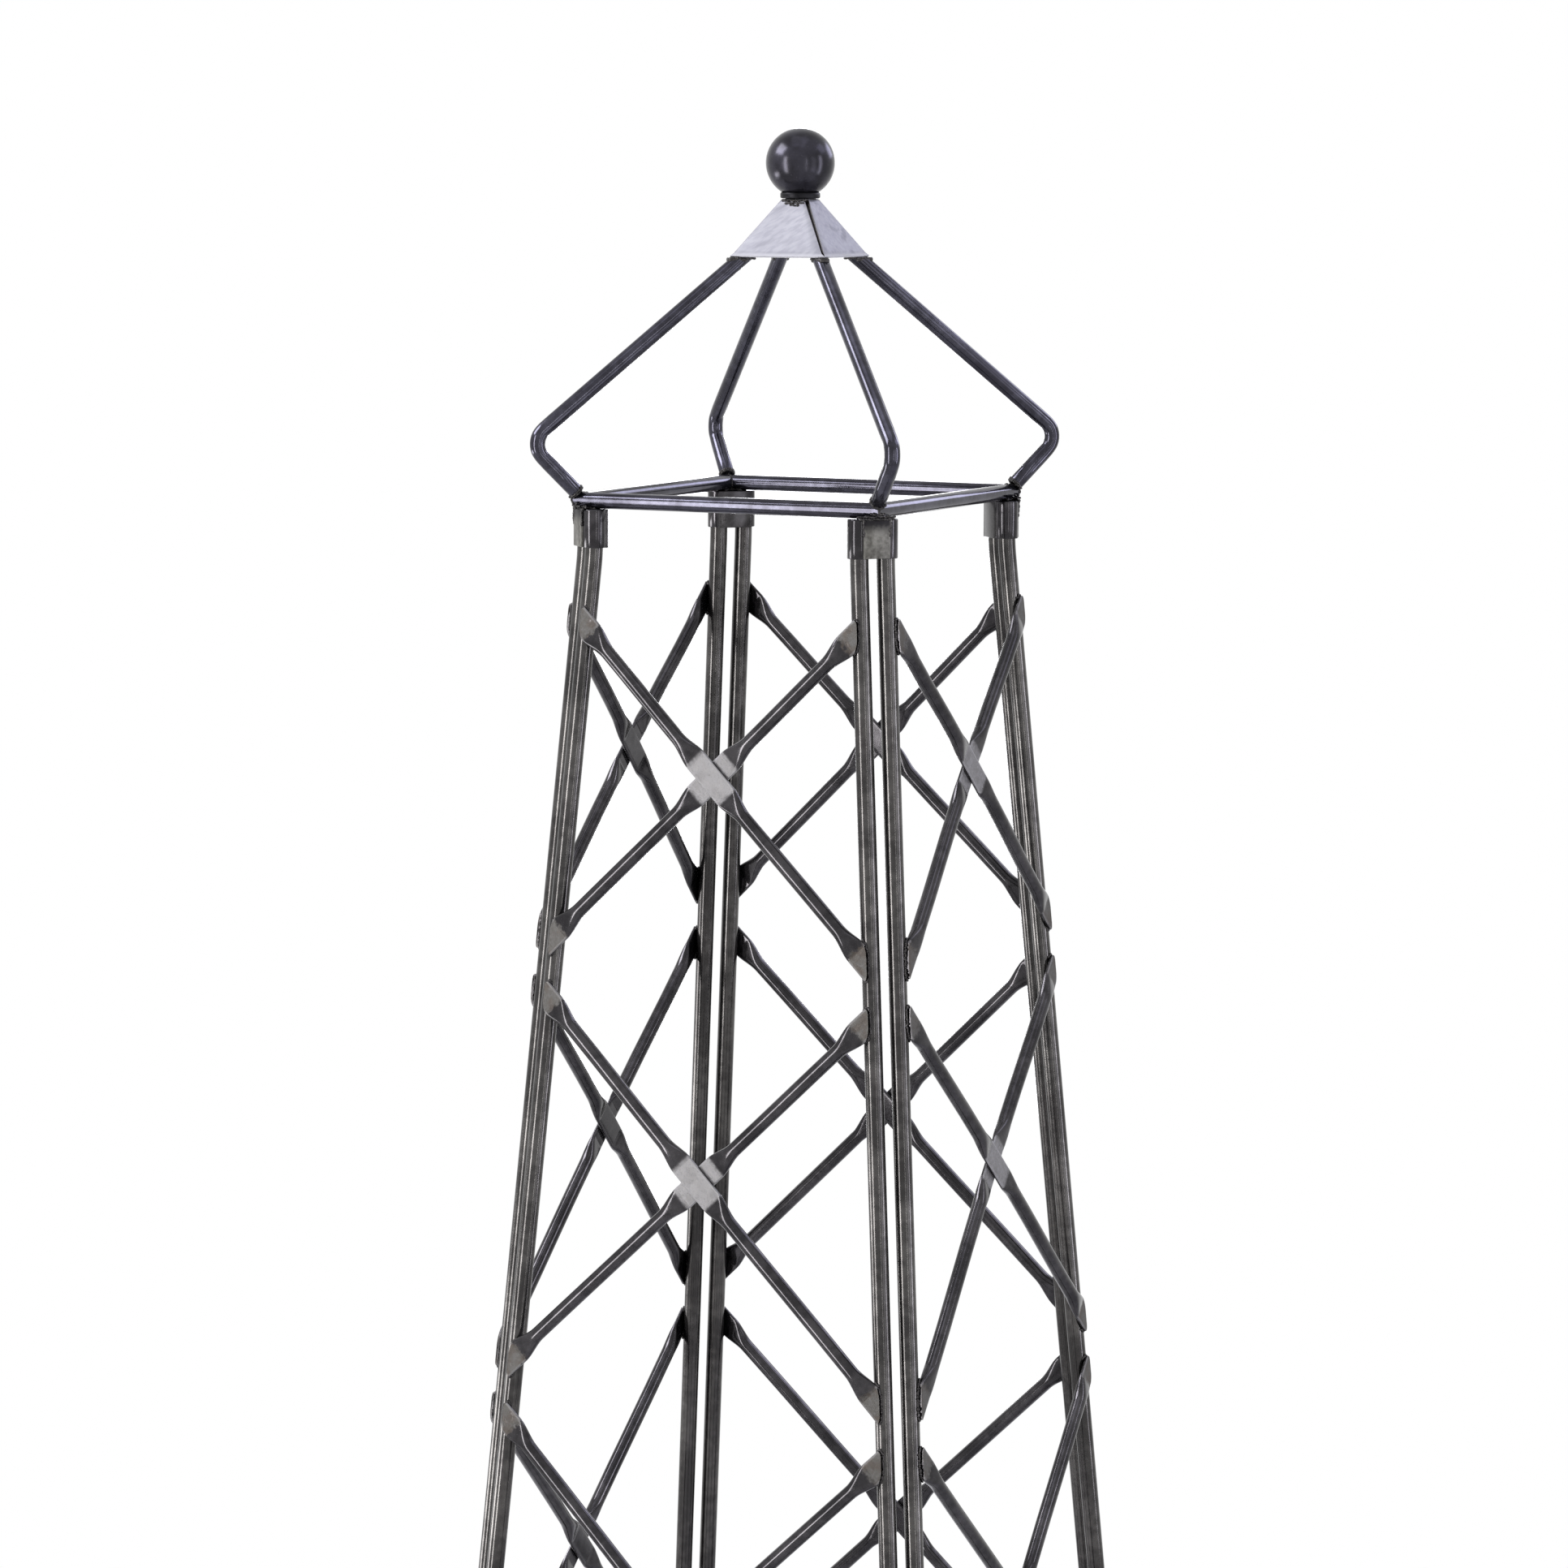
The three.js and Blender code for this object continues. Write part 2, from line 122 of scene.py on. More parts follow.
class Graph:  # makes nodes in one tree
    def __init__(self, tree):
        self.tree = tree
        tree.nodes.clear()

    def node(self, kind, settings=None, values=None, output=0):
        made = self.tree.nodes.new(kind)
        for key, value in (settings or {}).items():
            if key == "stops":
                self.setStops(made.color_ramp, value)
            else:
                setattr(made, key, value)
        for key, value in (values or {}).items():
            socket = made.inputs[key]
            if isinstance(value, Wire):
                self.tree.links.new(value.socket, socket)
            elif socket.type == "RGBA" and len(value) == 3:
                socket.default_value = (*value, 1.0)
            else:
                socket.default_value = value
        return Wire(self, made.outputs[output]) if len(made.outputs) else None

    def setStops(self, ramp, stops):
        while len(ramp.elements) < len(stops):
            ramp.elements.new(0.5)
        for element, (position, tone) in zip(ramp.elements, stops):
            element.position = position
            element.color = (*tone, 1.0)

    def sum(self, operation, left, right):
        return self.node("ShaderNodeMath", {"operation": operation}, {0: left, 1: right})

    def larger(self, left, right):
        return self.sum("MAXIMUM", left, right)

    def between(self, value, low, high):  # 0 at low, 1 at high
        ends = {"Value": value, "From Min": low, "From Max": high}
        return self.node("ShaderNodeMapRange", {"interpolation_type": "SMOOTHSTEP"}, ends)

    def blend(self, amount, first, second):  # first where amount is 0, second where it is 1
        values = {0: amount, 6: first, 7: second}
        return self.node("ShaderNodeMix", {"data_type": "RGBA"}, values, 2)

    def seenRay(self):  # 1 for what the camera, a gloss or a glass sees, 0 for light on the object
        path = self.node("ShaderNodeLightPath", output="Is Camera Ray")
        mirrored = self.larger(path, path.other("Is Glossy Ray"))
        return self.larger(mirrored, path.other("Is Transmission Ray"))


class Finish(Graph):  # a material that reads Object coordinates
    def __init__(self, name):
        self.material = bpy.data.materials.new(name)
        self.material.use_nodes = True
        super().__init__(self.material.node_tree)
        self.spot = self.node("ShaderNodeTexCoord", output="Object")

    def grain(self, scale, detail=2.0, stretch=None, turn=(0, 0, 0)):
        where = self.spot
        if stretch:  # how many times longer the grain is along each turned axis
            placing = {"Vector": where, "Rotation": turn, "Scale": stretch}
            where = self.node("ShaderNodeMapping", {"vector_type": "TEXTURE"}, placing)
        values = {"Vector": where, "Scale": scale, "Detail": detail}
        return self.node("ShaderNodeTexNoise", None, values)

    def height(self):
        return self.node("ShaderNodeSeparateXYZ", None, {0: self.spot}).other("Z")

    def attribute(self, name):
        return self.node("ShaderNodeAttribute", {"attribute_name": name}, output="Fac")

    def bump(self, height, distance, under=None):
        values = {"Strength": 1.0, "Distance": distance, "Height": height}
        if under:
            values["Normal"] = under
        return self.node("ShaderNodeBump", None, values)

    def close(self, **sockets):
        values = {name.replace("_", " "): value for name, value in sockets.items()}
        shader = self.node("ShaderNodeBsdfPrincipled", None, values)
        self.node("ShaderNodeOutputMaterial", None, {"Surface": shader})
        return self.material


# In a finish, grain is counted per metre, depths are metres, and colours are linear.
coatLook = {
    "deep": (0.042, 0.040, 0.0398),
    "pale": (0.090, 0.086, 0.084),
    "dust": (0.13, 0.125, 0.13),
    "metallic": 0.85,
    "roughness": 0.16,
    "specular": 0.22,
    "cloud": 22.0,
    "fine": 160.0,
    "speck": 1500.0,
    "peel": 620.0,  # orange peel
    "peelDepth": 0.0000004,
    "sway": 24.0,  # slow dents
    "swayDepth": 0.00012,
}


def coatBase(finish, look):  # colour, roughness and bump that every coated tube shares
    cloud = finish.grain(look["cloud"], 3.0)
    fine = finish.grain(look["fine"], 4.0)
    speck = finish.between(finish.grain(look["speck"], 1.0), 0.68, 0.76)
    patch = finish.between(cloud * 0.6 + fine * 0.4, 0.38, 0.66)
    colour = finish.blend(patch, look["deep"], look["pale"])
    colour = finish.blend(speck * 0.35, colour, look["dust"])
    roughness = look["roughness"] + (fine - 0.5) * 0.03 + (cloud - 0.5) * 0.05 + speck * 0.15
    slow = finish.bump(finish.grain(look["sway"], 1.0), look["swayDepth"])
    normal = finish.bump(finish.grain(look["peel"], 1.0), look["peelDepth"], slow)
    return colour, roughness, normal


def satinCoat(name, look):
    finish = Finish(name)
    colour, roughness, normal = coatBase(finish, look)
    return finish.close(Base_Color=colour, Metallic=look["metallic"], Roughness=roughness,
                        Normal=normal, Specular_IOR_Level=look["specular"])


flatLook = {
    # pale flats: part wear, part painted reflection of the studio lights
    "wornAndSheen": (0.17, 0.165, 0.168),
    "bare": (0.285, 0.28, 0.288),
    "pit": (0.06, 0.057, 0.058),
    "endTone": (0.050, 0.047, 0.043),
    "endBare": (0.125, 0.121, 0.119),
    "tint": (0.046, 0.035, 0.028),  # heat tint beside the weld
    "roughness": 0.44,
    "metallic": 0.25,
    "fray": 240.0,  # ragged edge of the worn part
    "scuff": 420.0,
    "pits": 900.0,
    "cloud": 90.0,
    "ripple": 520.0,
    "rippleDepth": 0.00003,
}


def pressedCoat(name, look, flat):  # dark on the round tube, pale where it is pressed flat: part wear, part painted reflection of the studio
    finish = Finish(name)
    colour, roughness, normal = coatBase(finish, look)
    end = finish.attribute("end")
    fray = (finish.grain(flat["fray"], 3.0) - 0.5) * (0.10 + end * 0.7)
    pressed = finish.between(finish.attribute("pressed") + fray, 0.72, 0.94)
    rim = finish.attribute("rim") * pressed
    scuff = finish.between(finish.grain(flat["scuff"], 5.0), 0.42, 0.62)
    pits = finish.between(finish.grain(flat["pits"], 2.0), 0.60, 0.70)
    cloud = finish.grain(flat["cloud"], 3.0)
    wornAndSheen = finish.blend(scuff * 0.5, flat["wornAndSheen"], flat["bare"])
    wornAndSheen = finish.blend(finish.between(cloud, 0.55, 0.30) * 0.25, wornAndSheen, flat["endTone"])
    burnt = finish.blend(scuff * 0.5, flat["endTone"], flat["endBare"])
    burnt = finish.blend(finish.between(cloud, 0.45, 0.62) * 0.7, burnt, flat["tint"])
    wornAndSheen = finish.blend(end, wornAndSheen, burnt)
    wornAndSheen = finish.blend(pits * 0.6, wornAndSheen, flat["pit"])
    wornAndSheen = finish.blend(rim * (0.8 - end * 0.35), wornAndSheen, flat["bare"])
    colour = finish.blend(pressed, colour, wornAndSheen)
    rougher = flat["roughness"] - look["roughness"]
    roughness = roughness + pressed * (rougher + (scuff - 0.5) * 0.15)
    metallic = look["metallic"] + pressed * (flat["metallic"] - look["metallic"])
    normal = finish.bump(pressed * finish.grain(flat["ripple"], 3.0), flat["rippleDepth"], normal)
    return finish.close(Base_Color=colour, Metallic=metallic, Roughness=roughness,
                        Normal=normal, Specular_IOR_Level=look["specular"])


weldLook = {"deep": (0.018, 0.0165, 0.017), "pale": (0.060, 0.056, 0.055),
            "bright": (0.20, 0.19, 0.19), "lumps": 700.0, "lumpDepth": 0.00012, "glintFlecks": 160.0,
            "metallic": 0.7, "roughness": 0.28}


def weldCoat(name, look):  # the coat over lumpy weld metal, with a few bright flecks that are painted glints
    finish = Finish(name)
    lumps = finish.grain(look["lumps"], 3.0)
    glintFlecks = finish.between(finish.grain(look["glintFlecks"], 2.0), 0.68, 0.75)
    colour = finish.blend(finish.between(lumps, 0.35, 0.75), look["deep"], look["pale"])
    # bright flecks: painted glints on the beads
    colour = finish.blend(glintFlecks * 0.6, colour, look["bright"])
    roughness = look["roughness"] + lumps * 0.2
    return finish.close(Base_Color=colour, Metallic=look["metallic"], Roughness=roughness,
                        Normal=finish.bump(lumps, look["lumpDepth"]))


plateLook = {"deep": (0.065, 0.062, 0.056), "pale": (0.20, 0.195, 0.18),
             "darkUnderRing": (0.012, 0.011, 0.013), "darkUnderRingFrom": 0.0115, "darkUnderRingTo": 0.0025,  # below the ring
             "rough": 380.0, "roughDepth": 0.00016, "streak": 170.0}


def plateCoat(name, look, coat):  # sleeves dark, plates rough and pale
    finish = Finish(name)
    colour, roughness, normal = coatBase(finish, coat)
    plate = finish.attribute("plate")
    rough = finish.grain(look["rough"], 4.0)
    streak = finish.grain(look["streak"], 3.0, (1, 1, 5))
    patch = finish.between(rough * 0.45 + streak * 0.55, 0.32, 0.72)
    pale = finish.blend(patch, look["deep"], look["pale"])
    # the plates darken in a band just under the ring's bar
    ringUnder = form["ringHeight"] - form["barRadius"]
    ragged = finish.height() + (rough - 0.5) * 0.008
    darkUnderRing = finish.between(ragged, ringUnder - look["darkUnderRingFrom"], ringUnder - look["darkUnderRingTo"])
    pale = finish.blend(darkUnderRing, pale, look["darkUnderRing"])
    colour = finish.blend(plate, colour, pale)
    roughness = roughness + plate * 0.30
    metallic = coat["metallic"] - plate * 0.3
    normal = finish.bump(plate * rough, look["roughDepth"], normal)
    return finish.close(Base_Color=colour, Metallic=metallic, Roughness=roughness,
                        Normal=normal, Specular_IOR_Level=coat["specular"])


sheetLook = {
    "base": (0.245, 0.245, 0.28),
    "bright": (0.315, 0.315, 0.35),
    "smudge": (0.165, 0.165, 0.20),
    "hemHighlight": (0.50, 0.50, 0.54),
    "hemHighlightFrom": 0.0040,  # above the cap's lower edge, up to which the hem carries a painted highlight
    "hemHighlightTo": 0.0018,
    "roughness": 0.48,
    "metallic": 0.3,
    "brush": 300.0,
    "brushDepth": 0.00001,
    "cloud": 34.0,
    "cloudDepth": 0.0002,
    "smear": 110.0,
}


def brushedSheet(name, look, low):  # folded sheet, brushed across, with a painted highlight along its hem
    finish = Finish(name)
    brush = finish.grain(look["brush"], 4.0, (7, 1, 1), (0.2, -0.75, 0.1))
    cloud = finish.grain(look["cloud"], 3.0)
    wiped = finish.grain(look["smear"], 4.0, (4, 1, 1), (0.3, -0.6, 0.3))
    smear = finish.between(wiped, 0.54, 0.68)
    colour = finish.blend(finish.between(brush, 0.35, 0.65), look["base"], look["bright"])
    colour = finish.blend(smear * 0.45, colour, look["smudge"])
    colour = finish.blend(finish.between(cloud, 0.6, 0.35) * 0.35, colour, look["base"])
    # a pale band along the lower edge: painted highlight where the hem catches the light
    hemHighlight = 1 - finish.between(finish.height(), low + look["hemHighlightTo"], low + look["hemHighlightFrom"])
    colour = finish.blend(hemHighlight * 0.8, colour, look["hemHighlight"])
    roughness = look["roughness"] + (brush - 0.5) * 0.2 + smear * 0.1 - hemHighlight * 0.08
    normal = finish.bump(brush, look["brushDepth"], finish.bump(cloud, look["cloudDepth"]))
    return finish.close(Base_Color=colour, Metallic=look["metallic"], Roughness=roughness,
                        Normal=normal)


ballLook = {
    "deep": (0.022, 0.021, 0.026),
    "pale": (0.038, 0.0365, 0.047),
    "fleck": (0.12, 0.12, 0.14),
    "roughness": 0.22,
    "metallic": 0.7,
    "specular": 0.2,
    "cloud": 70.0,
    "speck": 1300.0,
    "peel": 800.0,
    "peelDepth": 0.0000018,
    "dent": 60.0,
    "dentDepth": 0.00005,
}
# the collar takes a darker copy of the ball's coat: painted shade under the ball
shadedCollarLook = {**ballLook, "deep": (0.007, 0.0068, 0.008), "pale": (0.014, 0.0135, 0.016),
              "roughness": 0.4}


def ballCoat(name, look):  # a softer, darker coat than the tubes have
    finish = Finish(name)
    cloud = finish.grain(look["cloud"], 3.0)
    peel = finish.grain(look["peel"], 2.0)
    speck = finish.between(finish.grain(look["speck"], 1.0), 0.70, 0.78)
    colour = finish.blend(finish.between(cloud, 0.35, 0.65), look["deep"], look["pale"])
    colour = finish.blend(speck * 0.3, colour, look["fleck"])
    roughness = look["roughness"] + (cloud - 0.5) * 0.08 + speck * 0.15
    dents = finish.bump(finish.grain(look["dent"], 1.0), look["dentDepth"])
    normal = finish.bump(peel, look["peelDepth"], dents)
    return finish.close(Base_Color=colour, Metallic=look["metallic"], Roughness=roughness,
                        Normal=normal, Specular_IOR_Level=look["specular"])


zincLook = {"base": (0.46, 0.47, 0.49), "dull": (0.28, 0.285, 0.29), "rust": (0.16, 0.075, 0.035),
            "spangle": 900.0, "cloud": 300.0, "cloudDepth": 0.00003, "metallic": 0.9,
            "roughness": 0.34}


def zincPlate(name, look):  # dull spangled zinc with a little rust
    finish = Finish(name)
    cells = {"Vector": finish.spot, "Scale": look["spangle"]}
    spangle = finish.node("ShaderNodeTexVoronoi", None, cells)
    cloud = finish.grain(look["cloud"], 4.0)
    colour = finish.blend(finish.between(spangle, 0.2, 0.8), look["base"], look["dull"])
    stain = finish.between(cloud, 0.62, 0.72)
    colour = finish.blend(stain * 0.5, colour, look["rust"])
    roughness = look["roughness"] + stain * 0.3
    return finish.close(Base_Color=colour, Metallic=look["metallic"], Roughness=roughness,
                        Normal=finish.bump(cloud, look["cloudDepth"]))


braceLook = {**coatLook, "deep": (0.030, 0.0287, 0.031), "pale": (0.062, 0.059, 0.063),
             "roughness": 0.14}
crownLook = {**coatLook, "deep": (0.033, 0.032, 0.041), "pale": (0.066, 0.065, 0.084),
             "roughness": 0.14}
tubeFinish = satinCoat("graphiteCoatOnTube", coatLook)
braceFinish = pressedCoat("graphiteCoatOnPressedTube", braceLook, flatLook)
crownFinish = satinCoat("graphiteCoatOnCrownRod", crownLook)
socketFinish = plateCoat("coatOnSocketPlates", plateLook, braceLook)
weldFinish = weldCoat("coatOverWeld", weldLook)
# the inside of the cap and its cut edges take a near-black weld coat with dimmer flecks: painted
# shade in the hollow
shadeInsideCapFinish = weldCoat("darkInsideOfCap", {**weldLook, "bright": (0.03, 0.03, 0.034)})
sheetFinish = brushedSheet("brushedCapSheet", sheetLook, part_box("cap")[0][2])
ballFinish = ballCoat("darkBallCoat", ballLook)
shadedCollarFinish = ballCoat("darkCollarCoat", shadedCollarLook)
zincFinish = zincPlate("zincOnFasteners", zincLook)
print("finishes made")


def putInScene(name, data):
    placed = bpy.data.objects.new(name, data)
    bpy.context.scene.collection.objects.link(placed)
    return placed


def asPiece(name, mesh, sharp=40.0):  # smooth but for edges past this many degrees
    mesh.name = name
    for face in mesh.polygons:
        face.use_smooth = True
    mesh.set_sharp_from_angle(angle=math.radians(sharp))
    return putInScene(name, mesh)


def pointOutwards(mesh, mergeWithin=0.0):
    shape = bmesh.new()
    shape.from_mesh(mesh)
    if mergeWithin:
        bmesh.ops.remove_doubles(shape, verts=shape.verts, dist=mergeWithin)
    bmesh.ops.recalc_face_normals(shape, faces=shape.faces)
    shape.to_mesh(mesh)
    shape.free()


class Tree(Graph):  # a geometry tree with named inputs, which ends as plain coated mesh
    def __init__(self, name, inputs):
        group = bpy.data.node_groups.new(name, "GeometryNodeTree")
        super().__init__(group)
        face = group.interface
        face.new_socket(name="Geometry", in_out="OUTPUT", socket_type="NodeSocketGeometry")
        face.new_socket(name="Geometry", in_out="INPUT", socket_type="NodeSocketGeometry")
        self.identifiers = {}
        for label, kind in inputs.items():
            made = face.new_socket(name=label, in_out="INPUT", socket_type="NodeSocket" + kind)
            self.identifiers[label] = made.identifier
        self.start = self.node("NodeGroupInput")

    def given(self, label):
        return self.start.other(label)

    def named(self, label, kind="FLOAT"):
        return self.node("GeometryNodeInputNamedAttribute", {"data_type": kind}, {"Name": label})

    def end(self, geometry):
        plain = self.node("GeometryNodeRealizeInstances", None, {"Geometry": geometry})
        coated = self.node("GeometryNodeSetMaterial", None,
                           {"Geometry": plain, "Material": self.given("Finish")})
        self.node("NodeGroupOutput", None, {"Geometry": coated})

    def run(self, name, holder, **values):  # applies the tree to holder and keeps only its mesh
        modifier = holder.modifiers.new(name, "NODES")
        modifier.node_group = self.tree
        for label, value in values.items():
            modifier[self.identifiers[label]] = value
        graph = bpy.context.evaluated_depsgraph_get()
        mesh = bpy.data.meshes.new_from_object(holder.evaluated_get(graph),
                                               preserve_all_data_layers=True, depsgraph=graph)
        holder.modifiers.clear()
        bpy.data.objects.remove(holder)
        return asPiece(name, mesh)


def tubeAlongPath():  # a closed tube along a line, as thick at each point as its swell says
    tree = Tree("tubeAlongPath", {"Radius": "Float", "Sides": "Int", "Floor": "Float",
                                  "Roof": "Float", "Finish": "Material"})
    path = tree.node("GeometryNodeMeshToCurve", None, {"Mesh": tree.given("Geometry")})
    ring = tree.node("GeometryNodeCurvePrimitiveCircle", None,
                     {"Resolution": tree.given("Sides"), "Radius": tree.given("Radius")})
    tube = tree.node("GeometryNodeCurveToMesh", None,
                     {"Curve": path, "Profile Curve": ring, "Scale": tree.named("swell"),
                      "Fill Caps": True})
    # Whatever lies past the floor or the roof slides back along the tube to a level cut.
    spot = tree.node("GeometryNodeInputPosition")
    z = tree.node("ShaderNodeSeparateXYZ", None, {0: spot}).other("Z")
    along = tree.named("along", "FLOAT_VECTOR")
    climb = tree.node("ShaderNodeSeparateXYZ", None, {0: along}).other("Z")
    short = tree.larger(tree.given("Floor") - z, 0.0) - tree.larger(z - tree.given("Roof"), 0.0)
    slide = tree.node("ShaderNodeVectorMath", {"operation": "SCALE"},
                      {0: along, "Scale": short / climb})
    tree.end(tree.node("GeometryNodeSetPosition", None, {"Geometry": tube, "Offset": slide}))
    return tree


def quarterTurns():  # the same shape at all four corners or sides
    tree = Tree("quarterTurns", {"Finish": "Material"})
    spots = tree.node("GeometryNodeMeshLine", None, {"Count": 4, "Offset": (0, 0, 0)})
    angle = tree.node("GeometryNodeInputIndex") * (math.pi / 2)
    turn = tree.node("FunctionNodeAxisAngleToRotation", None, {"Axis": (0, 0, 1), "Angle": angle})
    tree.end(tree.node("GeometryNodeInstanceOnPoints", None,
                       {"Points": spots, "Instance": tree.given("Geometry"), "Rotation": turn}))
    return tree


def weldBeads():  # uneven beads along a line
    tree = Tree("weldBeads", {"Pitch": "Float", "Bead": "Float", "Uneven": "Float", "Seed": "Int",
                              "Finish": "Material"})
    path = tree.node("GeometryNodeMeshToCurve", None, {"Mesh": tree.given("Geometry")})
    rows = tree.node("GeometryNodeResampleCurve", {"mode": "LENGTH"},
                     {"Curve": path, "Length": tree.given("Pitch")})
    bead = tree.node("GeometryNodeMeshUVSphere", None, {"Segments": 8, "Rings": 5, "Radius": 1.0})
    size = tree.node("FunctionNodeRandomValue", {"data_type": "FLOAT_VECTOR"},
                     {0: (0.95, 0.7, 0.6), 1: (1.6, 1.15, 1.05), "Seed": tree.given("Seed")})
    scale = tree.node("ShaderNodeVectorMath", {"operation": "SCALE"},
                      {0: size, "Scale": tree.given("Bead")})
    jitter = tree.node("FunctionNodeRandomValue", {"data_type": "FLOAT_VECTOR"},
                       {0: (-1, -1, -1), 1: (1, 1, 1), "Seed": tree.given("Seed") + 1})
    shift = tree.node("ShaderNodeVectorMath", {"operation": "SCALE"},
                      {0: jitter, "Scale": tree.given("Uneven")})
    rows = tree.node("GeometryNodeSetPosition", None, {"Geometry": rows, "Offset": shift})
    along = tree.node("GeometryNodeInputTangent")
    turn = tree.node("FunctionNodeAlignRotationToVector", {"axis": "X"}, {"Vector": along})
    tree.end(tree.node("GeometryNodeInstanceOnPoints", None,
                       {"Points": rows, "Instance": bead, "Rotation": turn, "Scale": scale}))
    return tree


tubeTree, turnTree, beadTree = tubeAlongPath(), quarterTurns(), weldBeads()


class Shell:  # gathers closed surfaces into one mesh, with values that the finishes read
    def __init__(self):
        self.points, self.faces, self.marks = [], [], {}

    def add(self, points, faces, **marks):
        start = len(self.points)
        self.points += [Vector(p) for p in points]
        self.faces += [[start + i for i in face] for face in faces]
        for name, values in marks.items():
            row = self.marks.setdefault(name, [0.0] * start)
            row += [values] * len(points) if isinstance(values, (int, float)) else list(values)
        for row in self.marks.values():
            row += [0.0] * (len(self.points) - len(row))

    def holder(self, name):
        mesh = bpy.data.meshes.new(name)
        mesh.from_pydata(self.points, [], self.faces)
        for label, values in self.marks.items():
            mesh.attributes.new(label, "FLOAT", "POINT").data.foreach_set("value", values)
        pointOutwards(mesh)
        return putInScene(name, mesh)


def tubeFaces(count, size, closed=True):  # quads between rings, and a cap at both ends
    faces = []
    for r in range(count - 1):
        for i in range(size):
            j = (i + 1) % size
            faces.append([r * size + i, r * size + j, (r + 1) * size + j, (r + 1) * size + i])
    if closed:
        faces.append(list(range(size))[::-1])
        faces.append([(count - 1) * size + i for i in range(size)])
    return faces


def lathe(profile, sides, place=lambda p: p):  # a turned piece, its profile from axis to axis
    points, rows = [], []
    for radius, height in profile:
        circle = roundOnce(sides) if radius > 0 else [(0, 0)]
        rows.append([len(points) + k for k in range(len(circle))])
        points += [place(Vector((c * radius, s * radius, height))) for c, s in circle]
    faces = []
    for low, high in zip(rows, rows[1:]):
        for k in range(sides):
            j = (k + 1) % sides
            corners = [low[k % len(low)], low[j % len(low)],
                       high[j % len(high)], high[k % len(high)]]
            face = [c for i, c in enumerate(corners) if c not in corners[:i]]
            if len(face) > 2:
                faces.append(face)
    return points, faces


def guide(paths, name="guide"):  # the open or closed lines that a tree follows
    points, edges, along, swell = [], [], [], []
    for path in paths:
        start, spots = len(points), [Vector(p) for p in path["spots"]]
        points += spots
        last = len(spots) - 1
        edges += [(start + i, start + i + 1) for i in range(last)]
        if path.get("closed"):
            edges.append((start + last, start))
        for i in range(len(spots)):
            along.append((spots[min(i + 1, last)] - spots[max(i - 1, 0)]).normalized())
        swell += path.get("swell", [1.0] * len(spots))
    mesh = bpy.data.meshes.new(name)
    mesh.from_pydata(points, edges, [])
    mesh.attributes.new("swell", "FLOAT", "POINT").data.foreach_set("value", swell)
    mesh.attributes.new("along", "FLOAT_VECTOR", "POINT").data.foreach_set(
        "vector", [c for v in along for c in v])
    return putInScene(name, mesh)


def cornerRound(before, corner, after, reach, steps):  # a soft bend in place of a corner
    first = corner + (before - corner).normalized() * reach
    last = corner + (after - corner).normalized() * reach
    spots = []
    for i in range(steps + 1):
        t = i / steps
        spots.append(first.lerp(corner, t).lerp(corner.lerp(last, t), t))
    return spots


# legs: two tubes to a corner, upright for their last bit under the ring
legs = {
    "radius": 0.0066,
    "sides": 32,
    "top": 1.4714,
    "runSteps": 8,  # along the leaning run
    "kinkReach": 0.010,
    "kinkSteps": 6,
    "pastFoot": 0.003,  # under the ground, until the level cut
    "footSwell": 0.86,  # the closed foot draws in
    "footReach": 0.0011,
    "footStep": 0.004,
    "topSwell": 0.9,
    "topReach": 0.0008,
}
noRoof = 2.0  # higher than anything here


def legPath(hand, quarter):  # a leg of one panel, on its +x side (1) or -x side (-1)
    def spot(z):
        return Vector((hand * (halfSide(z) - pairOffset), -halfSide(z) - pairOffset, z))
    low, kink = spot(0.0), spot(kinkHeight)
    high = kink + Vector((0, 0, legs["top"] - kinkHeight))
    down = (low - kink).normalized()
    spots = [low + down * legs["pastFoot"], low - down * legs["footReach"],
             low - down * legs["footStep"]]
    spots += [low.lerp(kink, i / legs["runSteps"]) for i in range(1, legs["runSteps"])]
    spots += cornerRound(low, kink, high, legs["kinkReach"], legs["kinkSteps"])
    spots += [high - Vector((0, 0, legs["topReach"])), high]
    swell = [legs["footSwell"]] + [1.0] * (len(spots) - 2) + [legs["topSwell"]]
    return {"spots": [turned(p, quarter) for p in spots], "swell": swell}


legPaths = guide([legPath(hand, quarter) for quarter in range(4) for hand in (-1, 1)])
posts = tubeTree.run("latticeLegs", legPaths, Radius=legs["radius"], Sides=legs["sides"],
                     Floor=0.0, Roof=noRoof, Finish=tubeFinish)
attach(posts, "lattice")
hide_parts(*[f"{face}_leg_{hand}" for face in faceNames for hand in ("left", "right")])
print("legs made")

# braces: round tube, pressed flat at both ends and where two cross
brace = {
    "tiers": 4,
    "firstDrop": 0.088,  # ring to the highest brace ends
    "lastTierHeight": 0.0744,  # ground to the lowest brace ends
    "tierGap": 0.042,  # between the brace ends of neighbouring tiers
    "radius": 0.00525,
    "flatWidth": 0.018,
    "flatThick": 0.003,
    "dish": 0.10,  # how far a flat sinks between its rolled edges, over its half thickness
    "endLap": 0.0012,  # how far a flat reaches past the leg's axis
    "endFlat": 0.010,
    "crossFlat": 0.034,
    "taper": 0.022,  # from flat to round
    "sides": 28,
    "square": 5.5,  # how square the flat's edge is
    "taperSteps": 9,
    "cornerBack": 0.0036,  # how far a flat's end corners are rounded off
    "endStations": 12,  # rings that belong to a welded end
    "endPlaces": (0.0, 0.06, 0.55, 0.97),  # rings along an end's flat
    "shaftPlaces": (0.25, 0.5, 0.75),  # rings along the round part between two tapers
    "crossInset": 0.0006,  # from the end of the flat at a crossing to its first ring
    "shadedUnderside": 0.2,  # of the flat's thickness below its middle, past which the flat stays dark: painted shade on its inward face
    "rimFrom": 0.80,  # where the rolled edge starts, over half the width
    "rimReach": 0.14,
}


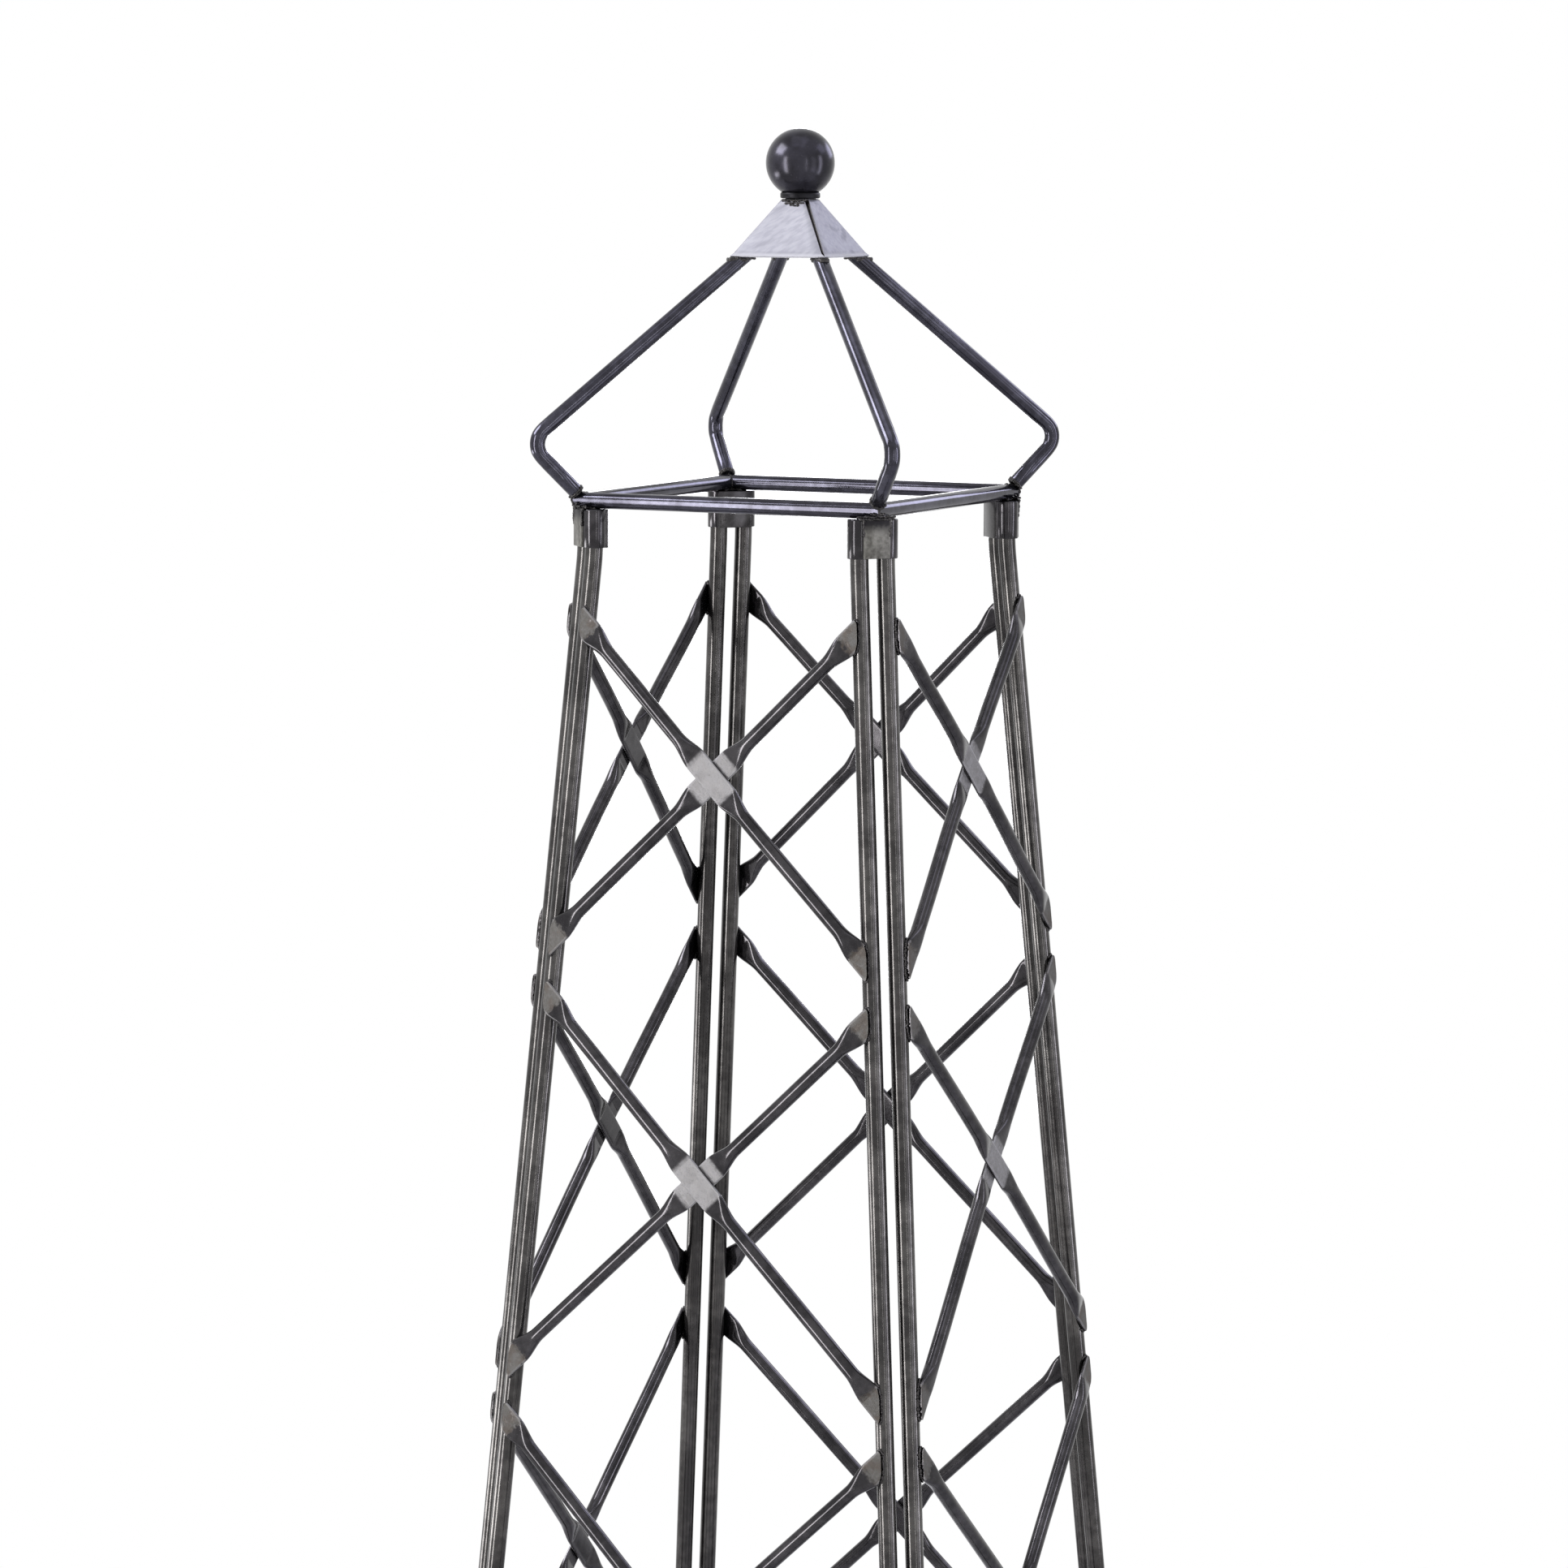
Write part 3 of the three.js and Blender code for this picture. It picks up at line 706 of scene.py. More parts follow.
def tiersOfShape(shape):  # (top, bottom) of each tier, for a height of shape times its width
    stack, top = [], form["ringHeight"] - brace["firstDrop"]
    for _ in range(brace["tiers"]):
        height = shape * 2 * halfSide(top) / (1 - shape * form["lean"])
        stack.append((top, top - height))
        top -= height + brace["tierGap"]
    return stack


def fittedTiers():  # the tiers that end at the stated height, found by halving
    low, high = 0.0, 1 / form["lean"]
    for _ in range(50):
        shape = (low + high) / 2
        if tiersOfShape(shape)[-1][1] > brace["lastTierHeight"]:
            low = shape
        else:
            high = shape
    return tiersOfShape(low)


tiers = fittedTiers()
upPanel = 1 / math.cos(tilt)
legLean = form["lean"] * math.cos(tilt)
braceLift = legs["radius"] + form["seatGap"] + brace["flatThick"] / 2
crossLift = (brace["flatThick"] + form["seatGap"]) / 2


def legLine(y):  # a leg's axis in the panel, out from the middle
    return halfSide(0) - pairOffset - legLean * y


def onPanel(x, y, z):  # from the front panel's own axes, x right, y up and z out of it
    return Vector((x, y * math.sin(tilt) - z * math.cos(tilt) - halfSide(0) - pairOffset,
                   y * math.cos(tilt) + z * math.sin(tilt)))


def braceLine(tier, rise):  # where a brace starts, crosses and ends in its panel
    top, bottom = tier[0] * upPanel, tier[1] * upPanel
    low = Vector((-rise * legLine(bottom), bottom, 0))
    high = Vector((rise * legLine(top), top, 0))
    along = (high - low).normalized()
    crossing = low - along * (low.x / along.x)
    return {"along": along, "across": Vector((-along.y, along.x, 0)), "crossing": crossing,
            "low": -(crossing - low).length, "high": (high - crossing).length, "rise": rise}


def endCutAt(line, q, sign):  # how far along the brace, at q across it, the brace is cut over a leg
    start = line["crossing"] + line["across"] * q
    edge = legLine(0) + brace["endLap"]
    along = line["along"]
    return (edge - sign * start.x - legLean * start.y) / (sign * along.x + legLean * along.y)


def braceOutline(wide, thick):  # across the brace, wide and thick are 1 where it is flat
    outline = []
    power = 2 / brace["square"]
    for k in range(brace["sides"]):
        angle = (k + 0.5) * 2 * math.pi / brace["sides"]
        c, s = math.cos(angle), math.sin(angle)
        flatX = math.copysign(abs(c) ** power, c)
        sink = 1 - brace["dish"] * (1 - flatX ** 4)
        flatY = math.copysign(abs(s) ** power, s) * sink
        q = mix(c * brace["radius"], flatX * brace["flatWidth"] / 2, wide)
        h = mix(s * brace["radius"], flatY * brace["flatThick"] / 2, thick)
        outline.append((q, h, abs(flatX)))
    return outline


def braceStations(line, lift):  # (place along, wide, thick, lift) from the low end to the high end
    half, end, taper = brace["crossFlat"] / 2, brace["endFlat"], brace["taper"]
    steps = brace["taperSteps"]

    def opening(t):
        return 1 - smooth(t), 1 - math.sin(t * math.pi / 2)

    def cut(q, sign):
        rounding = min(abs(q) / (brace["flatWidth"] / 2), 1.0) ** 4
        return endCutAt(line, q, sign * line["rise"]) - sign * brace["cornerBack"] * rounding

    def sideOf(sign, reach):
        edge = [(lambda q, t=t: mix(cut(q, sign), sign * (reach - end), t), 1, 1, 0)
                for t in brace["endPlaces"]]
        fan = [(sign * (reach - end - taper * i / steps), *opening(i / steps), 0)
               for i in range(steps + 1)]
        shaft = [(sign * mix(reach - end - taper, half + taper, t), 0, 0, smooth(t) * lift)
                 for t in brace["shaftPlaces"]]
        cross = [(sign * (half + taper * i / steps), *opening(i / steps), lift)
                 for i in range(steps, -1, -1)]
        cross.append((sign * (half - brace["crossInset"]), 1, 1, lift))
        return edge + fan + shaft + cross

    lowSide = sideOf(-1, -line["low"])
    highSide = sideOf(1, line["high"])
    return lowSide + [(0.0, 1, 1, lift)] + highSide[::-1]


def braceRow(rise, lift):  # that brace of every tier, on the front panel
    shell = Shell()
    for tier in tiers:
        line = braceLine(tier, rise)
        points, pressed, rim, end = [], [], [], []
        stations = braceStations(line, lift)
        for i, (place, wide, thick, raised) in enumerate(stations):
            for q, h, out in braceOutline(wide, thick):
                at = place(q) if callable(place) else place
                flat = line["crossing"] + line["across"] * q + line["along"] * at
                points.append(onPanel(flat.x, flat.y, braceLift + raised + h))
                # only the outward face of a flat turns pale; the inward face stays dark as painted
                # shade
                pressed.append(thick if h > -brace["flatThick"] * brace["shadedUnderside"] else 0.0)
                rim.append(smooth((out - brace["rimFrom"]) / brace["rimReach"]))
                end.append(1.0 if min(i, len(stations) - 1 - i) < brace["endStations"] else 0.0)
        faces = tubeFaces(len(stations), brace["sides"])
        shell.add(points, faces, pressed=pressed, rim=rim, end=end)
    return shell


for layer, rise, lift in (("outer", -1, crossLift), ("inner", 1, -crossLift)):
    row = braceRow(rise, lift).holder(layer + "Row")
    braces = turnTree.run(layer + "Braces", row, Finish=braceFinish)
    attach(braces, "lattice")
    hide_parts(*[f"{face}_brace_{tier}_{layer}"
                          for face in faceNames for tier in range(1, brace["tiers"] + 1)])
print("braces made")

# tie bolts: one through each corner pair, with a spacer between its legs
bolt = {"radius": 0.0024, "headRadius": 0.005, "headHeight": 0.0032, "nutRadius": 0.0044,
        "nutHeight": 0.005, "spacerRadius": 0.0045, "spacerEdge": 0.0004, "sides": 24,
        "gap": 0.0003, "underTier": 3,
        "head": ((0.35, 0.97), (0.68, 0.82), (0.9, 0.5), (1, 0.15)),  # radius and height shares
        "dome": ((1, 0.45), (0.86, 0.56), (0.8, 0.75), (0.5, 0.94))}


def boltShell():
    seat = form["pairSpacing"] / 2 + legs["radius"] + bolt["gap"]
    inner = form["pairSpacing"] / 2 - legs["radius"] - bolt["gap"]
    height = tiers[bolt["underTier"] - 1][1] - brace["tierGap"] / 2
    across, up = Vector((diagonal, -diagonal, 0)), Vector((0, 0, 1))
    middle = Vector((halfSide(height), -halfSide(height), height))

    def onBolt(p):
        return middle + across * p.x + up * p.y + Vector((diagonal, diagonal, 0)) * p.z

    head, nut, rod = bolt["headRadius"], bolt["nutRadius"], bolt["radius"]
    spacer = bolt["spacerRadius"]
    tall, deep, edge = bolt["headHeight"], bolt["nutHeight"], bolt["spacerEdge"]
    profile = [(0, -seat - tall)] + [(head * r, -seat - tall * h) for r, h in bolt["head"]]
    profile += [(head, -seat), (rod, -seat), (rod, -inner), (spacer - edge, -inner),
                (spacer, -inner + edge), (spacer, inner - edge), (spacer - edge, inner),
                (rod, inner), (rod, seat), (nut, seat)]
    profile += [(nut * r, seat + deep * h) for r, h in bolt["dome"]] + [(0, seat + deep)]
    shell = Shell()
    shell.add(*lathe(profile, bolt["sides"], onBolt))
    return shell


ties = turnTree.run("tieBolts", boltShell().holder("tieBolt"), Finish=zincFinish)
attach(ties, "lattice")
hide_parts(*[f"tie_bolt_{i}" for i in (1, 2, 3, 4)])
print("tie bolts made")

# welds round the end of every flat
weld = {
    "pitch": 0.0014,
    "bead": 0.0011,
    "uneven": 0.0003,
    "seed": 11,
    "across": (-0.6, 0.0, 0.6),  # over half the flat's width, along its end
    "back": (0.006, 0.004, 0.0028),  # down both its edges
    "outside": 0.0003,  # past the flat's edge
    "proud": 0.0006,  # above the leg
    "lowest": 0.005,  # above the leg's axis
}


def endWeld(line, sign):  # down one edge of the flat, across its end and up the other edge
    half = brace["flatWidth"] / 2
    marks = [(-half, back) for back in weld["back"]]
    marks += [(half * t, 0.0) for t in weld["across"]]
    marks += [(half, back) for back in reversed(weld["back"])]
    spots = []
    for q, back in marks:
        at = endCutAt(line, q, sign * line["rise"]) - sign * (back - weld["outside"])
        flat = line["crossing"] + line["across"] * q + line["along"] * at
        aside = abs(flat.x) - legLine(flat.y)
        drop = math.sqrt(max(legs["radius"] ** 2 - aside ** 2, 0.0))
        spots.append(onPanel(flat.x, flat.y, max(drop, weld["lowest"]) + weld["proud"]))
    return spots


def braceWelds():
    rows = [endWeld(braceLine(tier, rise), sign)
            for tier in tiers for rise in (-1, 1) for sign in (-1, 1)]
    return [{"spots": [turned(p, quarter) for p in row]} for quarter in range(4) for row in rows]


welds = beadTree.run("braceWelds", guide(braceWelds()), Pitch=weld["pitch"], Bead=weld["bead"],
                     Uneven=weld["uneven"], Seed=weld["seed"], Finish=weldFinish)
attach(welds, "lattice")
print("brace welds made")

# ring: four bars with mitred ends
ring = {"radius": form["barRadius"], "sides": 32, "gap": 0.0003, "stops": (-1, -0.5, 0, 0.5, 1)}


def ringBar():  # the front one
    points = []
    for stop in ring["stops"]:
        for c, s in roundOnce(ring["sides"]):
            out, up = c * ring["radius"], s * ring["radius"]
            reach = ringHalf - ring["gap"] / 2 + out if abs(stop) == 1 else ringHalf
            points.append((stop * reach, -ringHalf - out, form["ringHeight"] + up))
    shell = Shell()
    shell.add(points, tubeFaces(len(ring["stops"]), ring["sides"]))
    return shell


bars = turnTree.run("ringBars", ringBar().holder("ringBar"), Finish=crownFinish)
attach(bars, "crown")
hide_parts(*[f"ring_bar_{i}" for i in (1, 2, 3, 4)])

# sockets: two sleeves and two plates under each corner of the ring
socket = {"height": 0.028, "roof": 0.0025, "wall": 0.0017, "clearance": 0.0003, "plate": 0.0025,
          "outerWidth": 0.020, "innerWidth": 0.026, "soft": 0.0005, "sides": 32,
          "plateDrop": 0.0002, "outerBare": 1.0, "innerBare": 0.12}  # bare: 1 is rough and pale
socketTop = form["ringHeight"] - ring["radius"] - form["seatGap"]


def softBox(low, high, soft, place):  # a box with rounded edges
    shape = bmesh.new()
    bmesh.ops.create_cube(shape, size=1.0)
    for vert in shape.verts:
        vert.co = Vector(mix(a, b, c + 0.5) for a, b, c in zip(low, high, vert.co))
    bmesh.ops.bevel(shape, geom=shape.edges[:], offset=soft, segments=2, profile=0.5,
                    affect="EDGES")
    shape.verts.ensure_lookup_table()
    points = [place(v.co) for v in shape.verts]
    faces = [[v.index for v in face.verts] for face in shape.faces]
    shape.free()
    return points, faces


def socketShell():
    low, bore = socketTop - socket["height"], legs["radius"] + socket["clearance"]
    outer, soft = bore + socket["wall"], socket["soft"]
    roof, reach = socketTop - socket["roof"], halfSide(form["ringHeight"]) / diagonal
    shell = Shell()
    profile = [(0, roof), (bore, roof), (bore, low + soft), (bore + soft * 0.6, low),
               (outer - soft * 0.6, low), (outer, low + soft), (outer, socketTop - soft * 1.6),
               (outer - soft * 0.5, socketTop - soft * 0.5), (outer - soft * 1.6, socketTop),
               (0, socketTop)]
    for side in (-1, 1):
        def onSleeve(p, along=side * form["pairSpacing"] / 2):
            return cornerSpot(reach + p.x, along + p.y, p.z)
        shell.add(*lathe(profile, socket["sides"], onSleeve), plate=0)
    thick, top, gap = socket["plate"], socketTop - socket["plateDrop"], form["seatGap"]
    for out, wide, bottom, bare in ((outer, socket["outerWidth"], low + gap, socket["outerBare"]),
                                    (-outer, socket["innerWidth"], low - gap, socket["innerBare"])):
        shell.add(*softBox((out - thick / 2, -wide / 2, bottom), (out + thick / 2, wide / 2, top),
                           soft, lambda p: cornerSpot(reach + p.x, p.y, p.z)), plate=bare)
    return shell


legSockets = turnTree.run("legSockets", socketShell().holder("legSocket"), Finish=socketFinish)
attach(legSockets, "crown")
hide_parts(*[f"leg_socket_{i}" for i in (1, 2, 3, 4)])

# crown legs: from the ring's corners out round an elbow and in to the cap
crownLeg = {
    "radius": 0.00565,
    "sides": 32,
    "topInset": 0.0105,  # from the cap's lower corner in to the leg's axis
    "elbowOut": 0.0407,  # from the ring's corner out to where the two runs meet
    "elbowRise": 0.0423,
    "elbowRadius": 0.014,
    "toeOut": -0.0015,
    "bendSteps": 12,
    "pinch": 0.955,  # thinnest, at both ends of the bend
    "pinchAt": (0.08, 0.92),
    "pinchReach": 0.12,
    "toeSwell": 0.9,
    "toeReach": 0.0009,
    "lowPlaces": (0.5, 0.8),  # rings along the lower run
    "highPlaces": (0.04, 0.1, 0.3, 0.6, 0.88),  # and along the upper one
    "pastCap": 0.010,  # into the cap, until the level cut
}
capLow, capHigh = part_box("cap")


def crownPath():  # (out from the middle, rise above the ring) from the ring up to the cap
    corner = ringHalf / diagonal
    elbow = Vector((corner + crownLeg["elbowOut"], crownLeg["elbowRise"]))
    toe = Vector((corner + crownLeg["toeOut"], 0.0))
    top = Vector((capHigh[0] / diagonal - crownLeg["topInset"],
                  capLow[2] - form["ringHeight"] - form["seatGap"]))
    down, up = (toe - elbow).normalized(), (top - elbow).normalized()
    clear = math.hypot(ring["radius"] / diagonal * down.x, ring["radius"] * down.y)
    start = toe - down * (clear + form["seatGap"] + crownLeg["toeOut"] * down.x)
    half = math.acos(down.dot(up)) / 2
    setback = crownLeg["elbowRadius"] / math.tan(half)
    centre = elbow + (down + up).normalized() * (crownLeg["elbowRadius"] / math.sin(half))
    first = elbow + down * setback - centre
    sweep = math.pi - 2 * half
    straight = (elbow + down * setback - start).length
    spots = [start, start - down * crownLeg["toeReach"]]
    spots += [start - down * straight * t for t in crownLeg["lowPlaces"]]
    swell = [crownLeg["toeSwell"]] + [1.0] * (len(spots) - 1)
    for i in range(crownLeg["bendSteps"] + 1):
        t = i / crownLeg["bendSteps"]
        spots.append(centre + Matrix.Rotation(sweep * t, 2) @ first)
        nip = sum(math.exp(-((t - at) / crownLeg["pinchReach"]) ** 2) for at in crownLeg["pinchAt"])
        swell.append(mix(1.0, crownLeg["pinch"], nip))
    after = elbow + up * setback
    spots += [after.lerp(top, t) for t in crownLeg["highPlaces"]] + [top + up * crownLeg["pastCap"]]
    return spots, swell + [1.0] * (len(spots) - len(swell))


crownSpots, crownSwell = crownPath()
rodLine = [cornerSpot(p.x, 0, form["ringHeight"] + p.y) for p in crownSpots]
rodPaths = [{"spots": [turned(p, quarter) for p in rodLine], "swell": crownSwell}
            for quarter in range(4)]
rods = tubeTree.run("crownLegs", guide(rodPaths), Radius=crownLeg["radius"],
                    Sides=crownLeg["sides"], Floor=0.0, Roof=capLow[2] - form["seatGap"],
                    Finish=crownFinish)
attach(rods, "crown")
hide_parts(*[f"crown_leg_{i}" for i in (1, 2, 3, 4)])
print("ring, sockets and crown legs made")

# cap: one folded sheet with an open seam down its front corner
cap = {
    "topSide": 0.0212,
    "wall": 0.0015,
    "flange": 0.014,  # turned in under the lower edge
    "seamLow": 0.0018,  # how far the seam gapes at the bottom
    "seamHigh": 0.0034,  # and at the top
    "fold": 0.0022,
    "foldSteps": 5,
    "sideSteps": 8,
    "sidePlaces": (0.07, 0.12, 0.25, 0.4, 0.55, 0.7, 0.84, 0.94),  # rows up the side
    "lowerEdge": ((0.0032, 0), (0.0012, 0.0001), (0.0003, 0.0005), (0, 0.0012)),  # in and up
    "dent": 0.0005,
    "hole": 0.0033,
    "holeRim": 0.003,
    "edge": 0.00025,
}


def capShell():
    base, top, half = capLow[2], capHigh[2], capHigh[0]
    crest = cap["topSide"] / 2
    slope = (half - crest) / (top - base)
    rows = [(half - cap["flange"], base, False), (half - cap["flange"] / 2, base, False)]
    rows += [(half - inwards, base + up, False) for inwards, up in cap["lowerEdge"]]
    rows += [(half - slope * t * (top - base), mix(base, top, t), True) for t in cap["sidePlaces"]]
    rows += [(crest + 0.0004, top - 0.0006, True), (crest - 0.0006, top - 0.0001, False),
             (crest - 0.002, top, False), (cap["hole"] + cap["holeRim"], top, False),
             (cap["hole"], top, False)]
    points, faces = [], []
    for reach, z, gapes in rows:
        t = (z - base) / (top - base)
        gap = mix(cap["seamLow"], cap["seamHigh"], t) * diagonal if gapes else 0.0
        points += capOutline(reach, z, gap, t)
    width = len(points) // len(rows)
    for start in range(0, len(points) - width, width):
        for i in range(start, start + width - 1):
            faces.append([i, i + 1, i + width + 1, i + width])
    return points, faces


def capOutline(reach, z, gap, t):  # once round, from the seam on side +X to the seam on side -Y
    fold = min(cap["fold"], reach * 0.9)
    steps = cap["sideSteps"]
    outline = []
    for side in range(4):  # +X, +Y, -X, -Y
        start = -reach + (gap if side == 0 else fold)
        stop = reach - (gap if side == 3 else fold)
        for i in range(steps + 1):
            s = mix(start, stop, i / steps)
            bow = cap["dent"] * math.sin(math.pi * min(max(t, 0), 1)) * (1 - (s / reach) ** 2)
            outline.append(turned((reach - bow, s, z), side))
        if side < 3:
            for i in range(1, cap["foldSteps"]):
                angle = math.pi / 2 * i / cap["foldSteps"]
                outline.append(turned((reach - fold + fold * math.cos(angle),
                                       reach - fold + fold * math.sin(angle), z), side))
    return outline


def foldedCap():
    points, faces = capShell()
    mesh = bpy.data.meshes.new("capSheet")
    mesh.from_pydata(points, [], faces)
    pointOutwards(mesh, 0.00001)
    sheet = asPiece("cap", mesh, 50.0)
    sheet.data.materials.append(sheetFinish)
    sheet.data.materials.append(shadeInsideCapFinish)
    wall = sheet.modifiers.new("wall", "SOLIDIFY")
    wall.thickness, wall.offset, wall.use_even_offset = cap["wall"], -1.0, True
    wall.material_offset = wall.material_offset_rim = 1
    edge = sheet.modifiers.new("edge", "BEVEL")
    edge.width, edge.segments = cap["edge"], 2
    edge.limit_method, edge.angle_limit = "ANGLE", math.radians(50)
    return sheet


sheetCap = foldedCap()
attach(sheetCap, "crown")
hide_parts("cap")

# pads: weld metal between the cap's corners and the crown legs, narrower towards the corner
pad = {"from": -0.0125, "to": 0.0012, "wide": 0.013, "thick": 0.0032, "soft": 0.0012,
       "drop": 0.0002, "narrowFrom": -0.004, "narrowReach": 0.006, "narrow": 0.6}


def capPad():
    corner, top = capHigh[0] / diagonal, capLow[2] - pad["drop"]

    def onCorner(p):
        t = max((p.x - corner - pad["narrowFrom"]) / pad["narrowReach"], 0)
        return cornerSpot(p.x, p.y * (1 - pad["narrow"] * t), p.z)

    low = (corner + pad["from"], -pad["wide"] / 2, top - pad["thick"])
    high = (corner + pad["to"], pad["wide"] / 2, top)
    shell = Shell()
    shell.add(*softBox(low, high, pad["soft"], onCorner))
    return shell


pads = turnTree.run("capPads", capPad().holder("capPad"), Finish=weldFinish)
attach(pads, "crown")
print("cap and pads made")

# finial: collar, ball on its stud, and the nut inside the cap
finial = {"washerRadius": 0.0147, "rim": 0.0044, "dishSteps": 8, "stud": 0.003, "studGap": 0.0003,
          "studLength": 0.014, "studTip": 0.0006, "ballRadius": 0.0254, "sides": 64, "rings": 40,
          "nutRadius": 0.0056, "nutHeight": 0.005, "nutSides": 48, "nutChamfer": 0.0007,
          "nutFace": 0.97}
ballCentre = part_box("finial_ball")[1][2] - finial["ballRadius"]
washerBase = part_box("finial_washer")[0][2]


def collarProfile():  # dished on top to take the ball
    hole, wide = finial["stud"] + finial["studGap"], finial["washerRadius"]
    low, rim = washerBase, washerBase + finial["rim"]
    seat = finial["ballRadius"] + form["seatGap"]
    lip = math.sqrt(seat ** 2 - (ballCentre - rim) ** 2)
    profile = [(hole, low), (wide - 0.0012, low), (wide - 0.0003, low + 0.0004),
               (wide, low + 0.0012), (wide, rim - 0.0010), (wide - 0.0003, rim - 0.0003),
               (wide - 0.0009, rim), (lip + 0.0003, rim)]
    for i in range(finial["dishSteps"] + 1):
        radius = mix(lip, hole, i / finial["dishSteps"])
        profile.append((radius, ballCentre - math.sqrt(seat ** 2 - radius ** 2)))
    return profile + profile[:1]


def ballProfile():  # the ball with the stud under it
    radius, stud = finial["ballRadius"], finial["stud"]
    start = math.asin(stud / radius)
    tip = ballCentre - radius - finial["studLength"]
    profile = [(0, tip), (stud - finial["studTip"], tip), (stud, tip + finial["studTip"])]
    for i in range(finial["rings"]):
        angle = mix(start, math.pi, i / finial["rings"])
        profile.append((math.sin(angle) * radius, ballCentre - math.cos(angle) * radius))
    profile.append((0, ballCentre + radius))
    return profile


def nutShell():
    high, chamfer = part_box("finial_nut")[1][2], finial["nutChamfer"]
    low, sides = high - finial["nutHeight"], finial["nutSides"]
    flat = finial["nutRadius"] * math.cos(math.pi / 6)
    face, hole = flat * finial["nutFace"], finial["stud"] + finial["studGap"]
    rows = ((low, face), (low + chamfer, None), (high - chamfer, None), (high, face), (high, hole),
            (low, hole))  # None is the six-sided outline
    points, faces = [], []
    for z, size in rows:
        for k, (c, s) in enumerate(roundOnce(sides)):
            fold = (2 * math.pi * k / sides + math.pi / 6) % (math.pi / 3) - math.pi / 6
            reach = size or flat / math.cos(fold)
            points.append((c * reach, s * reach, z))
    for r in range(len(rows)):
        low, high = r * sides, (r + 1) % len(rows) * sides
        for i in range(sides):
            j = (i + 1) % sides
            faces.append([low + i, low + j, high + j, high + i])
    shell = Shell()
    shell.add(points, faces)
    return shell


def heldPiece(name, shell, material, mergeWithin=0.0):
    held = shell.holder(name + "Held")
    mesh = held.data
    bpy.data.objects.remove(held)
    if mergeWithin:
        pointOutwards(mesh, mergeWithin)
    mesh.materials.append(material)
    return asPiece(name, mesh)


def turnedPiece(name, profile, material):
    shell = Shell()
    shell.add(*lathe(profile, finial["sides"]))
    return heldPiece(name, shell, material, 0.000001)


collar = turnedPiece("finialCollar", collarProfile(), shadedCollarFinish)
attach(collar, "crown")
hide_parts("finial_washer")
ball = turnedPiece("finialBall", ballProfile(), ballFinish)
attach(ball, "crown")
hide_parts("finial_ball")
finialNut = heldPiece("finialNut", nutShell(), zincFinish)
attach(finialNut, "crown")
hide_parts("finial_nut")
print("finial made")

# welds of the crown legs, ring, sockets and collar
crownWeld = {
    "pitch": 0.0015,
    "bead": 0.00115,
    "uneven": 0.0003,
    "seed": 23,
    "toeRings": ((0.98, 0.0004), (0.9, -0.0006)),  # share of the rod's radius, up the rod
    "sunk": 0.97,  # share of the bar's radius at which the beads lie
    "rodSunk": 0.98,  # and of the rod's, under the cap
    "barEdge": 0.62,  # share of the bar's radius, out from its axis
    "barReach": (-0.004, 0.012),  # along the bar, from the ring's corner
    "plateProud": 0.0008,
    "plateDrops": (0.001, 0.006, 0.011),
    "capDrop": 0.0008,
    "capSlope": 0.666,  # out for every metre down
    "cornerRows": ((0.0004, 0.0120, 0.0002), (-0.0014, 0.0135, 0.0016), (0.0022, 0.0085, 0.0022),
                   (0.0030, 0.0045, 0.0040)),  # out, half length, up
    "collarRings": ((0.0102, 0.0001), (0.0094, 0.0006)),  # radius, down
    "smear": ((0.0014, -0.0085, 0.0095), (0.0030, -0.0055, 0.0085),
              (0.0046, -0.001, 0.0045)),  # down, and from left to right
}


def toeWelds():  # round the lower end of the crown leg
    start, leave = crownSpots[0], (crownSpots[1] - crownSpots[0]).normalized()
    rows = []
    for share, back in crownWeld["toeRings"]:
        radius = crownLeg["radius"] * share
        spots = [cornerSpot(start.x + leave.x * back - leave.y * s * radius, c * radius,
                            form["ringHeight"] + start.y + leave.y * back + leave.x * s * radius)
                 for c, s in roundOnce(16)]
        rows.append({"spots": spots, "closed": True})
    return rows


def mitreWeld():  # round the ring's corner
    reach, radius = ringHalf / diagonal, ring["radius"] * crownWeld["sunk"]
    spots = [cornerSpot(reach + c * radius / diagonal, 0, form["ringHeight"] + s * radius)
             for c, s in roundOnce(14)]
    return [{"spots": spots, "closed": True}]


def socketWelds():
    rows, z = [], socketTop + weld["proud"]
    for bar in ("right", "front"):  # along both edges of each bar, over the sleeves
        for edge in (-1, 1):
            near = ringHalf + edge * ring["radius"] * crownWeld["barEdge"]
            ends = [Vector((near, -ringHalf + reach, z)) for reach in crownWeld["barReach"]]
            if bar == "right":
                ends = [Vector((ringHalf - reach, -near, z)) for reach in crownWeld["barReach"]]
            rows.append([ends[0], ends[0].lerp(ends[1], 0.5), ends[1]])
    outer = legs["radius"] + socket["clearance"] + socket["wall"]
    outside = halfSide(form["ringHeight"]) / diagonal + outer
    for side in (-1, 1):  # down both edges of the outer plate
        along = side * socket["outerWidth"] / 2
        rows.append([cornerSpot(outside + crownWeld["plateProud"], along, socketTop - drop)
                     for drop in crownWeld["plateDrops"]])
    for out, wide, rise in crownWeld["cornerRows"]:  # thick welds up to the ring's corner
        rows.append([cornerSpot(outside + out, wide * t, socketTop + rise)
                     for t in (-1, -0.5, 0, 0.5, 1)])
    return [{"spots": spots} for spots in rows]


def capWeld():  # round the crown leg, under the cap
    aim = (crownSpots[-1] - crownSpots[-2]).normalized()
    foot = crownSpots[-1] - aim * ((crownSpots[-1].y - (capLow[2] - form["ringHeight"])) / aim.y)
    radius = crownLeg["radius"] * crownWeld["rodSunk"]
    spots = [cornerSpot(foot.x + c * radius / aim.y, s * radius, capLow[2] - crownWeld["capDrop"])
             for c, s in roundOnce(18)]
    return [{"spots": spots, "closed": True}]


